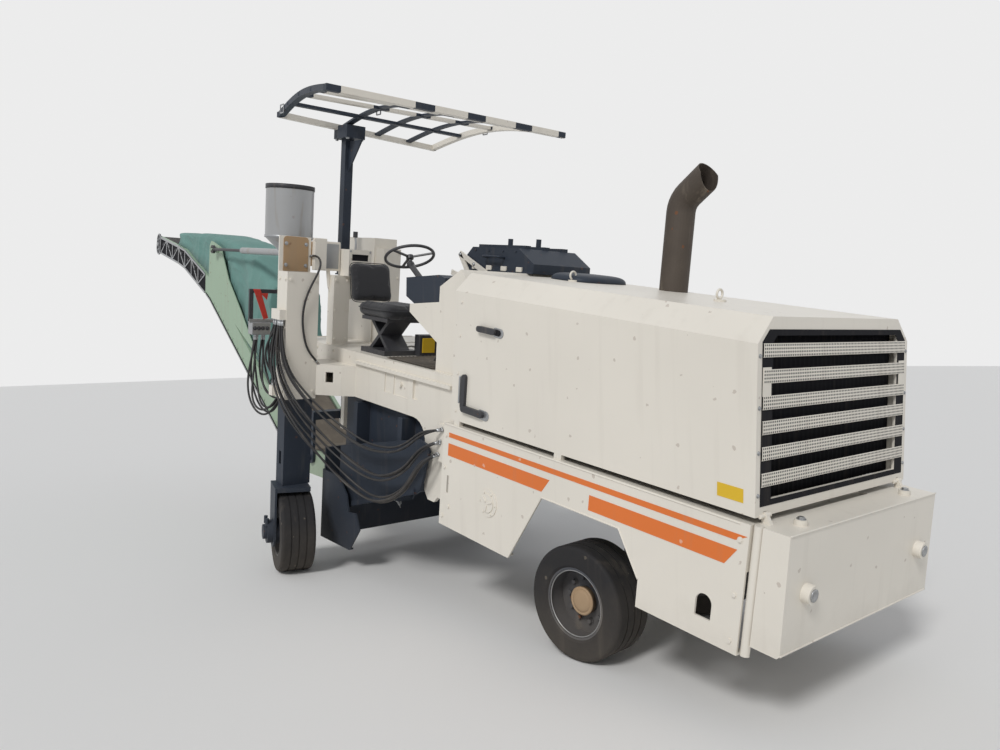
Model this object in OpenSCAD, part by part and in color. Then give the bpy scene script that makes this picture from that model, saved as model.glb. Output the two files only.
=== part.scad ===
// Compact wheeled cold planer: a milling drum between two axles, with a rear conveyor.
// The body frame has its origin at the front wheel centre, x forward, y to the left and z up.
// The whole body is pitched nose down, because the machine stands on its raised rear legs.

/* [Stance] */
// Nose-down pitch of the body, in degrees
body_pitch = 7.9; // [6:0.1:9]
// Steering angle of the front wheels, in degrees
front_steer = 4; // [-8:1:8]
// Steering angle of the rear wheels, in degrees
rear_steer = -15; // [-17:1:0]

/* [Wheels] */
// Diameter of the solid tyres
tyre_d = 660; // [640:5:680]
// Width of the solid tyres
tyre_w = 270; // [240:5:275]
// Diameter of the rim under the tyre
rim_d = 410; // [380:5:430]
// Distance from the body centre to the front kingpins
kingpin_y = 390; // [380:1:395]
// Distance from a kingpin to the middle of its wheel
kingpin_offset = 175; // [172:1:185]
// Diameter of the kingpins
kingpin_d = 50; // [40:2:56]
// Diameter of the wheel spindles
spindle_d = 90; // [80:2:100]
// Radius of the tan hub cap
hub_r = 78; // [70:1:84]

/* [Lower body] */
// Half of the width over the side skirts
skirt_y = 745; // [740:1:760]
// Height of the skirt tops above the front wheel centre
skirt_top = 802; // [795:1:806]
// Thickness of the skirt plates
skirt_t = 12; // [8:1:14]
// Front end of the skirts
skirt_front = 1103; // [1095:1:1110]
// Rear end of the skirts
skirt_rear = 1270; // [1262:1:1276]
// Depth of the counterweight along the body
weight_l = 200; // [180:5:230]
// Half of the width of the counterweight
weight_y = 728; // [700:1:735]

/* [Hood] */
// Half of the width of the hood
hood_y = 731; // [720:1:735]
// Height of the hood hinge above the front wheel centre
hood_hinge_z = 834; // [828:1:840]
// Front end of the hood, where its hinge lies
hood_front = 1111; // [1106:1:1116]
// Rear end of the hood at its bottom edge
hood_rear = 1216; // [1200:1:1225]
// Height of the hood top at its rear end
hood_top_rear = 1813; // [1790:1:1830]
// Height of the hood top at its front end
hood_top_front = 1725; // [1700:1:1740]
// Width and height of the chamfer along the hood top
hood_chamfer = 122; // [90:1:140]
// Thickness of the hood panels
hood_wall = 14; // [8:1:20]
// Number of slats in the grille
slat_count = 6; // [4:1:8]
// Height of one slat
slat_h = 74; // [60:1:84]
// Outer diameter of the exhaust stack
exhaust_d = 190; // [150:5:210]
// Height of the exhaust elbow above the front wheel centre
exhaust_z = 2300; // [2200:10:2400]

/* [Rear legs] */
// Distance from the front axle to the leg axis, along the body
leg_x = 2950; // [2940:1:2960]
// Distance from the body centre to the leg axis
leg_y = 1050; // [1045:1:1060]
// Size of the lift column along the body
column_w = 170; // [160:1:190]
// Size of the lift column across the body
column_d = 270; // [250:1:280]
// Thickness of the column walls
column_wall = 12; // [8:1:16]
// Lower end of the columns
column_low = 700; // [660:5:720]
// Upper end of the columns
column_top = 1720; // [1680:5:1760]
// Distance that the wheel runs ahead of its leg axis
leg_trail = 60; // [40:1:65]
// Greatest upward travel of the rear legs
leg_travel = 450; // [350:10:480]

/* [Milling] */
// Distance from the front axle to the drum axis, along the body
drum_x = 2300; // [2290:1:2310]
// Height of the drum axis above the front wheel centre
drum_z = 280; // [270:1:290]
// Width of the drum shell
drum_w = 1000; // [960:5:1020]
// Diameter of the drum shell
drum_shell_d = 600; // [560:5:640]
// Diameter over the pick tips
drum_tip_d = 860; // [840:5:880]
// Number of picks along each of the drum's helices
picks_per_start = 15; // [9:1:18]
// Number of helices
pick_starts = 4; // [2:1:4]
// Diameter of the drum shaft
shaft_d = 120; // [100:5:140]

/* [Platform] */
// Half of the width of the operator platform
platform_y = 648; // [640:1:656]
// Height of the platform floor above the front wheel centre
platform_top = 1100; // [1090:1:1110]
// Rear end of the platform
platform_rear = 3850; // [3820:5:3880]

/* [Conveyor] */
// Half of the width of the conveyor boom
boom_y = 350; // [320:1:352]
// Depth of the boom's side channels
boom_depth = 240; // [220:5:250]
// Distance from the front axle to the slew axis, along the body
slew_x = 4020; // [4010:1:4030]
// Height of the conveyor's lift hinge
lift_z = -120; // [-125:1:-115]
// Diameter of the head and tail pulleys
pulley_d = 200; // [180:5:205]
// Diameter of the slew pin
slew_pin_d = 60; // [50:2:64]

/* [Hidden] */
$fn = 64;

fit = 0.3;
slip = 0.5;
cream = [0.92, 0.89, 0.85];
slate = [0.23, 0.27, 0.33];
pale_green = [0.67, 0.76, 0.65];
teal = [0.41, 0.59, 0.55];
dark = [0.12, 0.12, 0.13];
steel = [0.6, 0.6, 0.6];
tan_paint = [0.75, 0.59, 0.43];

tyre_r = tyre_d / 2;
rim_r = rim_d / 2;
rim_wall = 12;
shoulder = 24;
// Camber that a steered wheel takes because its steering axis is pitched with the body
function camber(steer) = asin(sin(body_pitch) * abs(sin(steer)));
// Height of a steered wheel's centre above the ground
function centre_height(steer) =
    (tyre_r - shoulder) * cos(camber(steer)) + (tyre_w / 2 - shoulder) * sin(camber(steer)) + shoulder;
front_h = centre_height(front_steer) + kingpin_offset * sin(body_pitch) * abs(sin(front_steer));
rear_h = centre_height(rear_steer);
rear_wheel_x = -leg_x + leg_trail * cos(rear_steer);
wheel_drop = (front_h - rear_h - rear_wheel_x * sin(body_pitch)) / cos(body_pitch);

skirt_in = skirt_y - skirt_t;
beam_in = 300;
beam_out = 360;
beam_low = 470;
sill_low = skirt_top - skirt_t;
weight_front = skirt_front + weight_l;
hood_slope = atan((hood_top_rear - hood_top_front) / (hood_front + hood_rear));

column_in_w = column_w - 2 * column_wall;
column_in_d = column_d - 2 * column_wall;
pad_t = 5;
leg_w = column_in_w - 2 * pad_t - 2 * fit;
leg_d = column_in_d - 2 * pad_t - 2 * fit;
crown_t = 35;
crown_gap = 20;
crown_low = -wheel_drop + tyre_r + crown_gap;
leg_low = crown_low + crown_t + fit;
pivot_d = 80;
fork_plate_t = 16;
fork_gap = 14;

drum_r = drum_tip_d / 2;
shell_r = drum_shell_d / 2;
house_clear = 42;
house_t = 15;
house_y = drum_w / 2 + 45;
guide_y = 680;
plate_t = 20;

hose_d = 34;
hose_top_z = 1340;
hose_clip_z = 800;
hose_gland_y = 700;

hinge_pin_d = 20;
hinge_r = 18;
hinge_t = 22;
hinge_y = hood_y - 90;

bulkhead_x = skirt_rear + 10;
floor_t = 25;
side_t = 28;
boom_wall = 10;
boom_pts = [[-3300, -120], [-4350, -200], [-7050, 1350], [-8100, 1710], [-9250, 1870]];
pulley_r = pulley_d / 2;
pin_r = slew_pin_d / 2;

belt_t = 11;
lug_out = 34;
lug_d = 90;
lug_z = 520;
tail_end = pulley_r + fit + belt_t - boom_pts[4][0] * cos(body_pitch) - boom_pts[4][1] * sin(body_pitch);
nose_end = (weight_front + lug_out) * cos(body_pitch) + (lug_z + lug_d / 2) * sin(body_pitch);
row_x = (tail_end - nose_end) / 2;
row_y = -leg_trail * sin(rear_steer);
row_z = front_h;

// Puts body coordinates into the machine's own frame, standing on the ground
module placed() {
    translate([row_x, row_y, row_z]) rotate([0, body_pitch, 0]) children();
}

// Extrudes a side view, drawn in x and z, between two values of y
module side_slab(y0, y1) {
    translate([0, y1, 0]) rotate([90, 0, 0]) linear_extrude(y1 - y0) children();
}

// A box given by its two opposite corners
module block(a, b) {
    translate(a) cube(b - a);
}

// A round bar from one point to another
module bar(a, b, d) {
    v = b - a;
    l = norm(v);
    translate(a) rotate([0, acos(v[2] / l), atan2(v[1], v[0])]) cylinder(h = l, d = d);
}

// A shape and its mirror image on the other side of the body
module both_sides() {
    children();
    mirror([0, 1, 0]) children();
}

// Points along an arc, in the plane of an outline
function arc(c, r, a0, a1, n = 6) =
    [for (i = [0:n]) let (a = a0 + (a1 - a0) * i / n) [c[0] + r * cos(a), c[1] + r * sin(a)]];

// Side beams, cross members, sills and outriggers that carry the rest of the lower body
module main_frame() {
    color(cream) {
        both_sides() {
            block([-skirt_rear, beam_in, beam_low], [skirt_front, beam_out, sill_low]);
            block([-skirt_rear, beam_out - 20, sill_low], [skirt_front, skirt_in, skirt_top]);
            for (x = [-skirt_rear, -600, 540, skirt_front - 12])
                side_slab(beam_out, skirt_in)
                    polygon([[x, sill_low - 210], [x + 12, sill_low - 210], [x + 12, sill_low], [x, sill_low]]);
        }
        for (x = [-skirt_rear, -600, skirt_front - 60])
            block([x, -beam_in, beam_low], [x + 60, beam_in, sill_low]);
        block([-150, -beam_in, beam_low], [150, beam_in, beam_low + 80]);
        both_sides() for (x = [-1180, -200])
            block([x, hood_y - 28, skirt_top], [x + 60, hood_y, hood_hinge_z - fit]);
    }
}

// One side skirt with its wheel arch, slots and drain hole
module skirt() {
    side_slab(skirt_in, skirt_y) difference() {
        polygon([
            [-skirt_rear, 96], [-522, 96], [-262, 551], [340, 551], [499, 329], [499, 184],
            [skirt_front, 184], [skirt_front, skirt_top], [-skirt_rear, skirt_top]
        ]);
        translate([902, 360]) circle(d = 92);
        translate([856, 288]) square([92, 72]);
        translate([-1205, 330]) square([26, 120]);
    }
    side_slab(skirt_in - 50, skirt_in) {
        polygon([[-skirt_rear, 96], [-540, 96], [-540, 106], [-skirt_rear, 106]]);
        polygon([[510, 184], [skirt_front, 184], [skirt_front, 194], [510, 194]]);
    }
    translate([-748, skirt_y, 383]) rotate([-90, 0, 0]) {
        cylinder(d = 176, h = 6);
        cylinder(d = 120, h = 12);
    }
    for (x = [-1170, 1060])
        translate([x, skirt_y, 240]) rotate([-90, 0, 0]) cylinder(d = 24, h = 8);
}
module skirt_left() {
    color(cream) skirt();
}
module skirt_right() {
    color(cream) mirror([0, 1, 0]) skirt();
}

// Cast counterweight with its lugs, bolted across the front of the frame
module counterweight() {
    color(cream) {
        difference() {
            side_slab(-weight_y, weight_y) polygon([
                [skirt_front, 247], [weight_front - 14, 247], [weight_front, 262],
                [weight_front - 15, skirt_top], [skirt_front, skirt_top]
            ]);
            both_sides() block([skirt_front - 1, weight_y - 24, 200], [skirt_front + 52, weight_y + 1, skirt_top + 1]);
        }
        both_sides() {
            translate([skirt_front + 26, weight_y - 12, 190]) cylinder(d = 44, h = skirt_top - 190);
            translate([weight_front - 16, 560, lug_z]) rotate([0, 90, 0]) cylinder(d = lug_d, h = lug_out + 16);
            translate([skirt_front + 110, 520, skirt_top]) cylinder(d = 60, h = 26);
            difference() {
                side_slab(hinge_y, hinge_y + hinge_t) {
                    translate([hood_front, hood_hinge_z]) circle(r = hinge_r);
                    polygon([
                        [skirt_front, skirt_top], [skirt_front + 48, skirt_top],
                        [hood_front + hinge_r - 1, hood_hinge_z + 4], [skirt_front, hood_hinge_z]
                    ]);
                }
                translate([hood_front, hinge_y - 1, hood_hinge_z]) rotate([-90, 0, 0])
                    cylinder(d = hinge_pin_d + 2 * fit, h = hinge_t + 2);
            }
        }
    }
}

// Axle beam with a tower up to the frame and an eye at each end for the kingpin
module front_axle() {
    color(slate) {
        block([-75, -beam_in, -70], [75, beam_in, 70]);
        block([-110, -150, 70], [110, 150, beam_low]);
        both_sides() {
            for (z = [-105, 75])
                difference() {
                    union() {
                        block([-75, beam_in - 60, z], [75, kingpin_y - 45, z + 30]);
                        translate([0, kingpin_y, z]) cylinder(r = 46, h = 30);
                        block([-46, beam_in - 60, z], [46, kingpin_y, z + 30]);
                    }
                }
            block([-75, beam_in - 60, -75], [75, beam_in, 75]);
            translate([0, kingpin_y, -110]) cylinder(d = kingpin_d, h = 220);
        }
    }
}

// Steering knuckle with its spindle, drawn about its own kingpin
module knuckle() {
    color(slate) {
        difference() {
            union() {
                translate([0, 0, -74]) cylinder(r = 46, h = 148);
                rotate([-90, 0, 0]) cylinder(d = spindle_d, h = kingpin_offset + 30);
            }
            translate([0, 0, -80]) cylinder(d = kingpin_d + 2 * fit, h = 160);
        }
    }
}
module knuckle_left() {
    translate([0, kingpin_y, 0]) rotate([0, 0, front_steer]) knuckle();
}
module knuckle_right() {
    translate([0, -kingpin_y, 0]) rotate([0, 0, front_steer]) mirror([0, 1, 0]) knuckle();
}

// Solid tyre with rounded shoulders and three shallow grooves, about the y axis
module tyre() {
    half = tyre_w / 2;
    color(dark) rotate([-90, 0, 0]) rotate_extrude($fn = 96) difference() {
        polygon(concat(
            [[rim_r, -half + 8], [rim_r, half - 8], [rim_r + 14, half]],
            arc([tyre_r - shoulder, half - shoulder], shoulder, 90, 0, 4),
            arc([tyre_r - shoulder, -half + shoulder], shoulder, 0, -90, 4),
            [[rim_r + 14, -half]]
        ));
        for (y = [-60, 0, 60])
            translate([tyre_r - 7, y - 5]) square([8, 10]);
    }
}

// Dished rim: the disc sits deep inside, its hub cap faces the outer side (+y)
module rim() {
    half = tyre_w / 2 - 8;
    color(tan_paint) rotate([-90, 0, 0]) rotate_extrude($fn = 96) {
        translate([rim_r - rim_wall, -half]) square([rim_wall, 2 * half]);
        translate([spindle_d / 2 + fit, -12]) square([rim_r - rim_wall - spindle_d / 2 - fit, 24]);
        translate([spindle_d / 2 + fit, 12]) square([hub_r - spindle_d / 2 - fit, 34]);
        translate([0, 34]) square([hub_r, 32]);
    }
}
module at_front_wheel(side) {
    translate([0, side * kingpin_y, 0]) rotate([0, 0, front_steer])
        translate([0, side * kingpin_offset, 0]) scale([1, side, 1]) children();
}
module rim_front_right() { at_front_wheel(-1) rim(); }
module tyre_front_right() { at_front_wheel(-1) tyre(); }
module rim_front_left() { at_front_wheel(1) rim(); }
module tyre_front_left() { at_front_wheel(1) tyre(); }

// Rear leg: a square tube that slides in its column, with the fork's pivot at its foot
module leg() {
    color(slate) difference() {
        translate([-leg_w / 2, -leg_d / 2, leg_low]) cube([leg_w, leg_d, column_top - 240 - leg_low]);
        translate([-leg_w / 2 + 14, -leg_d / 2 + 14, leg_low + 90])
            cube([leg_w - 28, leg_d - 28, column_top]);
        translate([0, 0, leg_low - 1]) cylinder(d = pivot_d + 2 * fit, h = 92);
        for (y = [-1, 1])
            translate([-20, y * leg_d / 2 - 15, leg_low + 170]) cube([40, 30, 110]);
    }
}
module leg_left() { translate([-leg_x, leg_y, 0]) leg(); }
module leg_right() { translate([-leg_x, -leg_y, 0]) leg(); }

// Fork that carries a rear wheel from its outer side, with the wheel motor
module fork() {
    plate_y = tyre_w / 2 + fork_gap;
    color(slate) {
        translate([0, 0, crown_low]) cylinder(d = pivot_d, h = crown_t + 80);
        difference() {
            union() {
                block([-85, -leg_d / 2, crown_low], [leg_trail + 110, plate_y, crown_low + crown_t]);
                side_slab(plate_y, plate_y + fork_plate_t) polygon(concat(
                    [[-85, crown_low + crown_t], [-85, crown_low - 40]],
                    arc([leg_trail, -wheel_drop], 130, 200, 340, 8),
                    [[leg_trail + 110, crown_low - 40], [leg_trail + 110, crown_low + crown_t]]
                ));
            }
        }
        translate([leg_trail, 0, -wheel_drop]) rotate([-90, 0, 0]) {
            translate([0, 0, -30]) cylinder(d = spindle_d, h = plate_y + 30);
            translate([0, 0, 80]) cylinder(d = 210, h = plate_y - 80);
            translate([0, 0, plate_y + fork_plate_t]) cylinder(d = 190, h = 46);
            translate([0, 0, plate_y + fork_plate_t + 46]) cylinder(d = 120, h = 28);
        }
        for (x = [-40, 40])
            translate([leg_trail + x, plate_y + fork_plate_t + 46, -wheel_drop + 60])
                cylinder(d = 30, h = 60);
    }
}
module at_fork(side) {
    translate([-leg_x, side * leg_y, 0]) rotate([0, 0, rear_steer]) scale([1, side, 1]) children();
}
module fork_right() { at_fork(-1) fork(); }
module fork_left() { at_fork(1) fork(); }
// A rear rim is turned round, because its spindle comes from the outer side
module rear_wheel(side) {
    at_fork(side) translate([leg_trail, 0, -wheel_drop]) children();
}
module rim_rear_right() { rear_wheel(-1) mirror([0, 1, 0]) rim(); }
module tyre_rear_right() { rear_wheel(-1) tyre(); }
module rim_rear_left() { rear_wheel(1) mirror([0, 1, 0]) rim(); }
module tyre_rear_left() { rear_wheel(1) tyre(); }

// Lift column: a square tube with slide pads inside and a tall plate behind its top
module column() {
    color(cream) {
        difference() {
            translate([-column_w / 2, -column_d / 2, column_low])
                cube([column_w, column_d, column_top - column_low]);
            translate([-column_in_w / 2, -column_in_d / 2, column_low - 1])
                cube([column_in_w, column_in_d, column_top - column_low + 2]);
        }
        for (z = [column_low, column_low + 520])
            difference() {
                translate([-column_in_w / 2, -column_in_d / 2, z]) cube([column_in_w, column_in_d, 90]);
                translate([-leg_w / 2 - fit, -leg_d / 2 - fit, z - 1])
                    cube([leg_w + 2 * fit, leg_d + 2 * fit, 92]);
            }
    }
    color(tan_paint) difference() {
        side_slab(-column_d / 2, column_d / 2)
            polygon([[-column_w / 2 - 14, column_low + 300], [-column_w / 2, column_low + 300],
                [-column_w / 2, 2000], [-column_w / 2 - 14, 2000]]);
    }
}
module column_left() { translate([-leg_x, leg_y, 0]) column(); }
module column_right() {
    translate([-leg_x, -leg_y, 0]) mirror([0, 1, 0]) column();
    out = -leg_y - column_d / 2;
    color(steel) {
        block([-leg_x - 80, out - 54, hose_top_z], [-leg_x + 80, out, hose_top_z + 80]);
        block([-leg_x - 90, out - 54, hose_clip_z - 80], [-leg_x - 30, out, hose_clip_z]);
    }
}

// Hollow arm that carries a lift column on the platform's side, with a slot in its outer face
module arm() {
    inner = leg_y - column_d / 2;
    color(cream) difference() {
        translate([0, 0, 730]) linear_extrude(250) polygon([
            [-2690, platform_y], [-2744, 750], [-leg_x + column_w / 2, inner],
            [-leg_x - column_w / 2, inner], [-3180, 800], [-3180, platform_y]
        ]);
        translate([0, 0, 744]) linear_extrude(222) polygon([
            [-2712, platform_y - 1], [-2764, 744], [-leg_x + column_w / 2 - 12, inner - 14],
            [-leg_x - column_w / 2 + 4, inner - 14], [-3164, 794], [-3164, platform_y - 1]
        ]);
        translate([-2800, 830, 880]) rotate([0, 0, 50]) cube([150, 60, 84], center = true);
    }
}
module arm_left() { arm(); }
module arm_right() { mirror([0, 1, 0]) arm(); }

// Platform: floor, arched side plates and the bulkhead that meets the main frame
module platform() {
    side_in = platform_y - side_t;
    color(cream) {
        block([-platform_rear, -side_in, platform_top - floor_t], [-bulkhead_x, side_in, platform_top]);
        both_sides() {
            difference() {
                side_slab(side_in, platform_y) polygon(concat(
                    [[-bulkhead_x, platform_top], [-platform_rear, platform_top],
                        [-platform_rear, 900], [-3300, 730]],
                    arc([-1800, 560], 170, 90, 0, 6),
                    [[-1610, 230], [-1560, 170], [-1480, 170], [-1440, 215], [-bulkhead_x, 215]]
                ));
                block([-2230, platform_y - 8, 850], [-1900, platform_y + 1, 1030]);
                block([-1830, platform_y - 16, 860], [-1760, platform_y + 1, 1010]);
            }
            block([-2120, platform_y - 8, 850], [-2096, platform_y, 1030]);
            translate([-2000, platform_y - 8, 940]) rotate([-90, 0, 0]) cylinder(d = 36, h = 20);
            block([-2680, platform_y, 1010], [-1330, platform_y + 26, 1036]);
        }
        block([-1420, -hose_gland_y, 500], [-1300, -platform_y, 760]);
        block([-bulkhead_x - 20, -side_in, 300], [-bulkhead_x, side_in, platform_top - floor_t]);
        block([-bulkhead_x, -beam_out, beam_low], [-skirt_rear, beam_out, sill_low]);
        block([-bulkhead_x, -platform_y + side_t, sill_low], [-skirt_rear, platform_y - side_t, skirt_top]);
    }
}

// Cowl behind the hood, with the wedge-shaped bracket on its rear face
module cowl() {
    color(cream) {
        difference() {
            side_slab(-600, 600) polygon([
                [-1300, platform_top], [-1300, 1760], [-1380, 1830], [-1620, 1700], [-1620, platform_top]
            ]);
            side_slab(-588, 588) polygon([
                [-1312, platform_top - 1], [-1312, 1754], [-1382, 1814], [-1608, 1692], [-1608, platform_top - 1]
            ]);
        }
        side_slab(-600, -340) polygon([[-1620, 1590], [-2000, 1550], [-2000, 1490], [-1620, 1300]]);
    }
}

// Slate box with a ribbed lid on top of the cowl
module hydraulic_box() {
    color(slate) {
        side_slab(0, 580) polygon([
            [-1620, 1700 + fit], [-2150, 1700 + fit], [-2150, 1930], [-2060, 2010], [-1500, 2010],
            [-1320, 1900], [-1320, 1830 + fit], [-1380, 1830 + fit]
        ]);
        for (y = [60, 250, 440])
            block([-2060, y, 2010], [-1500, y + 60, 2034]);
        for (x = [-1960, -1620])
            translate([x, 300, 2034]) cylinder(d = 40, h = 60);
    }
}

// Control console beside the driver, carried on the wedge bracket
module console() {
    color(slate) side_slab(-560, -300) polygon([
        [-1620 - fit, 1590 + fit], [-2000, 1550 + fit], [-2120, 1600], [-2130, 1740], [-1700, 1780],
        [-1620 - fit, 1760]
    ]);
}

// Cabinets at the rear of the platform
module rear_cabinet() {
    back = -platform_rear + 20;
    color(cream) {
        block([back, -160, platform_top], [back + 510, 70, 2050]);
        block([back + 510, -150, platform_top], [back + 670, 20, 1960]);
        block([back + 500, -600, platform_top], [back + 610, -450, 1700]);
        block([back + 500, -450, 1500], [back + 580, -160, 1700]);
        difference() {
            block([back + 500, -510, 1700], [back + 690, -290, 1930]);
            for (z = [1745, 1835])
                block([back + 670, -480, z], [back + 691, -320, z + 55]);
        }
    }
}

// Suspension stand of the seat
module seat_stand() {
    color(dark) {
        block([-2780, -560, platform_top], [-2400, -240, platform_top + 40]);
        side_slab(-500, -300) for (a = [-1, 1])
            translate([-2590, platform_top]) polygon([
                [-150 * a, 40], [-105 * a, 40], [150 * a, 270], [105 * a, 270]
            ]);
        block([-2780, -560, platform_top + 270], [-2380, -240, platform_top + 300]);
    }
}

// Driver's seat: a cushion and a wrapped back
module seat() {
    color(dark) {
        hull() {
            block([-2860, -610, platform_top + 300], [-2300, -190, platform_top + 380]);
            block([-2840, -580, platform_top + 380], [-2340, -220, platform_top + 420]);
        }
        hull() {
            block([-2960, -600, platform_top + 370], [-2850, -200, platform_top + 420]);
            block([-3020, -550, platform_top + 700], [-2940, -250, platform_top + 750]);
        }
    }
}

// Steering column rising from the console
column_top_p = [-2440, -330, 1835];
column_foot_p = [-2125, -400, 1700];
wheel_lean = 27;
wheel_stub = 50;
module along_wheel_axis() {
    v = column_top_p - column_foot_p;
    translate(column_top_p) rotate([0, wheel_lean, atan2(v[1], v[0])]) children();
}
module steering_column() {
    color(dark) difference() {
        union() {
            bar(column_foot_p, column_top_p, 46);
            translate(column_top_p) sphere(d = 64);
            along_wheel_axis() cylinder(d = 30, h = wheel_stub);
        }
        console();
    }
}

// Three-spoke steering wheel on the column's upper stub
module steering_wheel() {
    color(dark) along_wheel_axis() translate([0, 0, wheel_stub + fit]) {
        cylinder(d = 60, h = 30);
        translate([0, 0, 22]) rotate_extrude() translate([195, 0]) circle(d = 24);
        for (a = [0, 120, 240])
            rotate([0, 0, a]) translate([25, -9, 12]) cube([165, 18, 12]);
    }
}

// Canopy mast with its gusset
mast_top = [-3550, -350, 2900];
module canopy_mast() {
    color(slate) {
        block([-3590, -390, 1700], [-3510, -310, 2900]);
        side_slab(-356, -344) polygon([[-3510, 2880], [-3510, 2620], [-3280, 2880]]);
        block([-3600, -400, 1700], [-3330, -300, 1712]);
    }
}

// Open canopy frame: arched ribs along the machine, straight flat purlins across it
canopy_corners = [[-3500, -1000, 3000], [-2150, -1250, 3000], [-2060, 860, 3000], [-3800, 730, 3000]];
canopy_rise = [60, 120];
canopy_bar = 50;
function along_canopy(t, s) =
    let (
        rear = canopy_corners[0] + (canopy_corners[3] - canopy_corners[0]) * t,
        front = canopy_corners[1] + (canopy_corners[2] - canopy_corners[1]) * t,
        rise = canopy_rise[0] + (canopy_rise[1] - canopy_rise[0]) * t
    )
    rear + (front - rear) * s + [0, 0, rise * sin(180 * s)];
module canopy_rib(t, wide, thick) {
    rear = along_canopy(t, 0);
    way = along_canopy(t, 1) - rear;
    steps = [for (s = [0:0.05:1.001]) [norm(way) * s, along_canopy(t, s)[2]]];
    translate([rear[0], rear[1], 0]) rotate([0, 0, atan2(way[1], way[0])])
        side_slab(-wide / 2, wide / 2) polygon(concat(
            [for (p = steps) p + [0, thick / 2]],
            [for (i = [len(steps) - 1:-1:0]) steps[i] - [0, thick / 2]]
        ));
}
module canopy_purlin(s, wide, thick) {
    a = along_canopy(0, s);
    b = along_canopy(1, s);
    way = b - a;
    translate(a) rotate([0, -asin(way[2] / norm(way)), atan2(way[1], way[0])])
        translate([-canopy_bar / 2, -wide / 2, -thick / 2]) cube([norm(way) + canopy_bar, wide, thick]);
}
module canopy_frame() {
    color(cream) {
        for (t = [0, 1])
            canopy_rib(t, canopy_bar, 44);
        for (t = [0.36, 0.58, 0.8])
            canopy_rib(t, 60, 16);
        for (s = [0, 1])
            canopy_purlin(s, canopy_bar, 44);
        for (s = [0.25, 0.5, 0.75])
            canopy_purlin(s, 60, 24);
        block([-3640, -440, 2900], [-3400, -260, 3010]);
    }
}

// Round air tank with a dark band, on its post
tank_p = [-3500, -900];
module round_tank() {
    color(steel) translate([tank_p[0], tank_p[1], 0]) {
        translate([0, 0, 1990]) cylinder(d = 400, h = 440);
        translate([0, 0, 1870]) cylinder(d1 = 150, d2 = 400, h = 120);
        translate([-60, -60, 900]) cube([120, 120, 970]);
        translate([-60, 60, 900]) cube([120, -tank_p[1] - platform_y - 60, 60]);
    }
}

// Housing over the drum: a round hood, side walls with shaft bearings and plate guides
module drum_housing() {
    color(slate) {
        side_slab(-house_y, house_y) difference() {
            translate([-drum_x, drum_z]) circle(r = drum_r + house_clear + house_t);
            translate([-drum_x, drum_z]) circle(r = drum_r + house_clear);
            translate([-drum_x - 600, drum_z - 620]) square([1200, 620]);
        }
        both_sides() {
            difference() {
                side_slab(house_y, house_y + house_t) polygon([
                    [-2940, platform_top - floor_t], [-1750, platform_top - floor_t], [-1750, 300],
                    [-1900, 60], [-2600, -40], [-2940, 0]
                ]);
                translate([-drum_x, house_y - 1, drum_z]) rotate([-90, 0, 0])
                    cylinder(d = shaft_d + 2 * fit, h = house_t + 2);
            }
            difference() {
                translate([-drum_x, house_y + house_t, drum_z]) rotate([-90, 0, 0]) cylinder(d = 260, h = 50);
                translate([-drum_x, house_y + house_t - 1, drum_z]) rotate([-90, 0, 0])
                    cylinder(d = shaft_d + 2 * fit, h = 52);
            }
            for (x = [-2640, -1960])
                block([x, house_y + house_t, 60], [x + 60, guide_y - fit, 700]);
        }
        block([-2940, -house_y, 200], [-2925, house_y, platform_top - floor_t]);
        block([-1765, -house_y, 300], [-1750, house_y, platform_top - floor_t]);
        both_sides() block([-2970, house_y - 20, 0], [-2940, house_y + house_t, 700]);
    }
}

// Milling drum: shell with end rings, its shaft and the pick holders along the helices
pick_step = drum_w / (picks_per_start + 1);
holder_h = 58;
function pick_angle(s, i) = 360 * s / pick_starts + i * 360 / picks_per_start * 0.55;
function pick_y(s, i) = -drum_w / 2 + pick_step * (i + 0.5 + s / pick_starts);
module each_pick(first, last) {
    for (s = [first:last], i = [0:picks_per_start - 1])
        translate([0, pick_y(s, i), 0]) rotate([0, pick_angle(s, i), 0]) translate([0, 0, shell_r]) children();
}
module drum() {
    color(slate) translate([-drum_x, 0, drum_z]) {
        rotate([-90, 0, 0]) {
            difference() {
                translate([0, 0, -drum_w / 2]) cylinder(r = shell_r, h = drum_w, $fn = 96);
                for (z = [-drum_w / 2 - 1, drum_w / 2 - 59])
                    translate([0, 0, z]) difference() {
                        cylinder(r = shell_r - 30, h = 60);
                        translate([0, 0, -1]) cylinder(d = shaft_d + 80, h = 62);
                    }
            }
            translate([0, 0, -house_y - house_t - 44]) cylinder(d = shaft_d, h = 2 * (house_y + house_t + 44));
        }
    }
}

// Pick holders and picks: a carbide tip, collar and shank leaning into the cut
module picks(first, last) {
    color(steel) translate([-drum_x, 0, drum_z]) each_pick(first, last) {
        rotate([90, 0, 0]) translate([0, 0, -20]) linear_extrude(40)
            polygon(concat(
                arc([0, -shell_r], shell_r + fit, 98.6, 81.4, 4),
                [[45, 20], [10, holder_h], [-30, holder_h - 34]]
            ));
        translate([-10, 0, holder_h - 17]) rotate([0, -40, 0]) rotate_extrude($fn = 24) polygon([
            [0, -6], [17, -6], [17, 10], [22, 10], [22, 16], [15, 22], [11, 50], [6, 56], [3, 78], [0, 80]
        ]);
    }
}

module picks_right() {
    picks(0, floor(pick_starts / 2) - 1);
}
module picks_left() {
    picks(floor(pick_starts / 2), pick_starts - 1);
}

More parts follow.
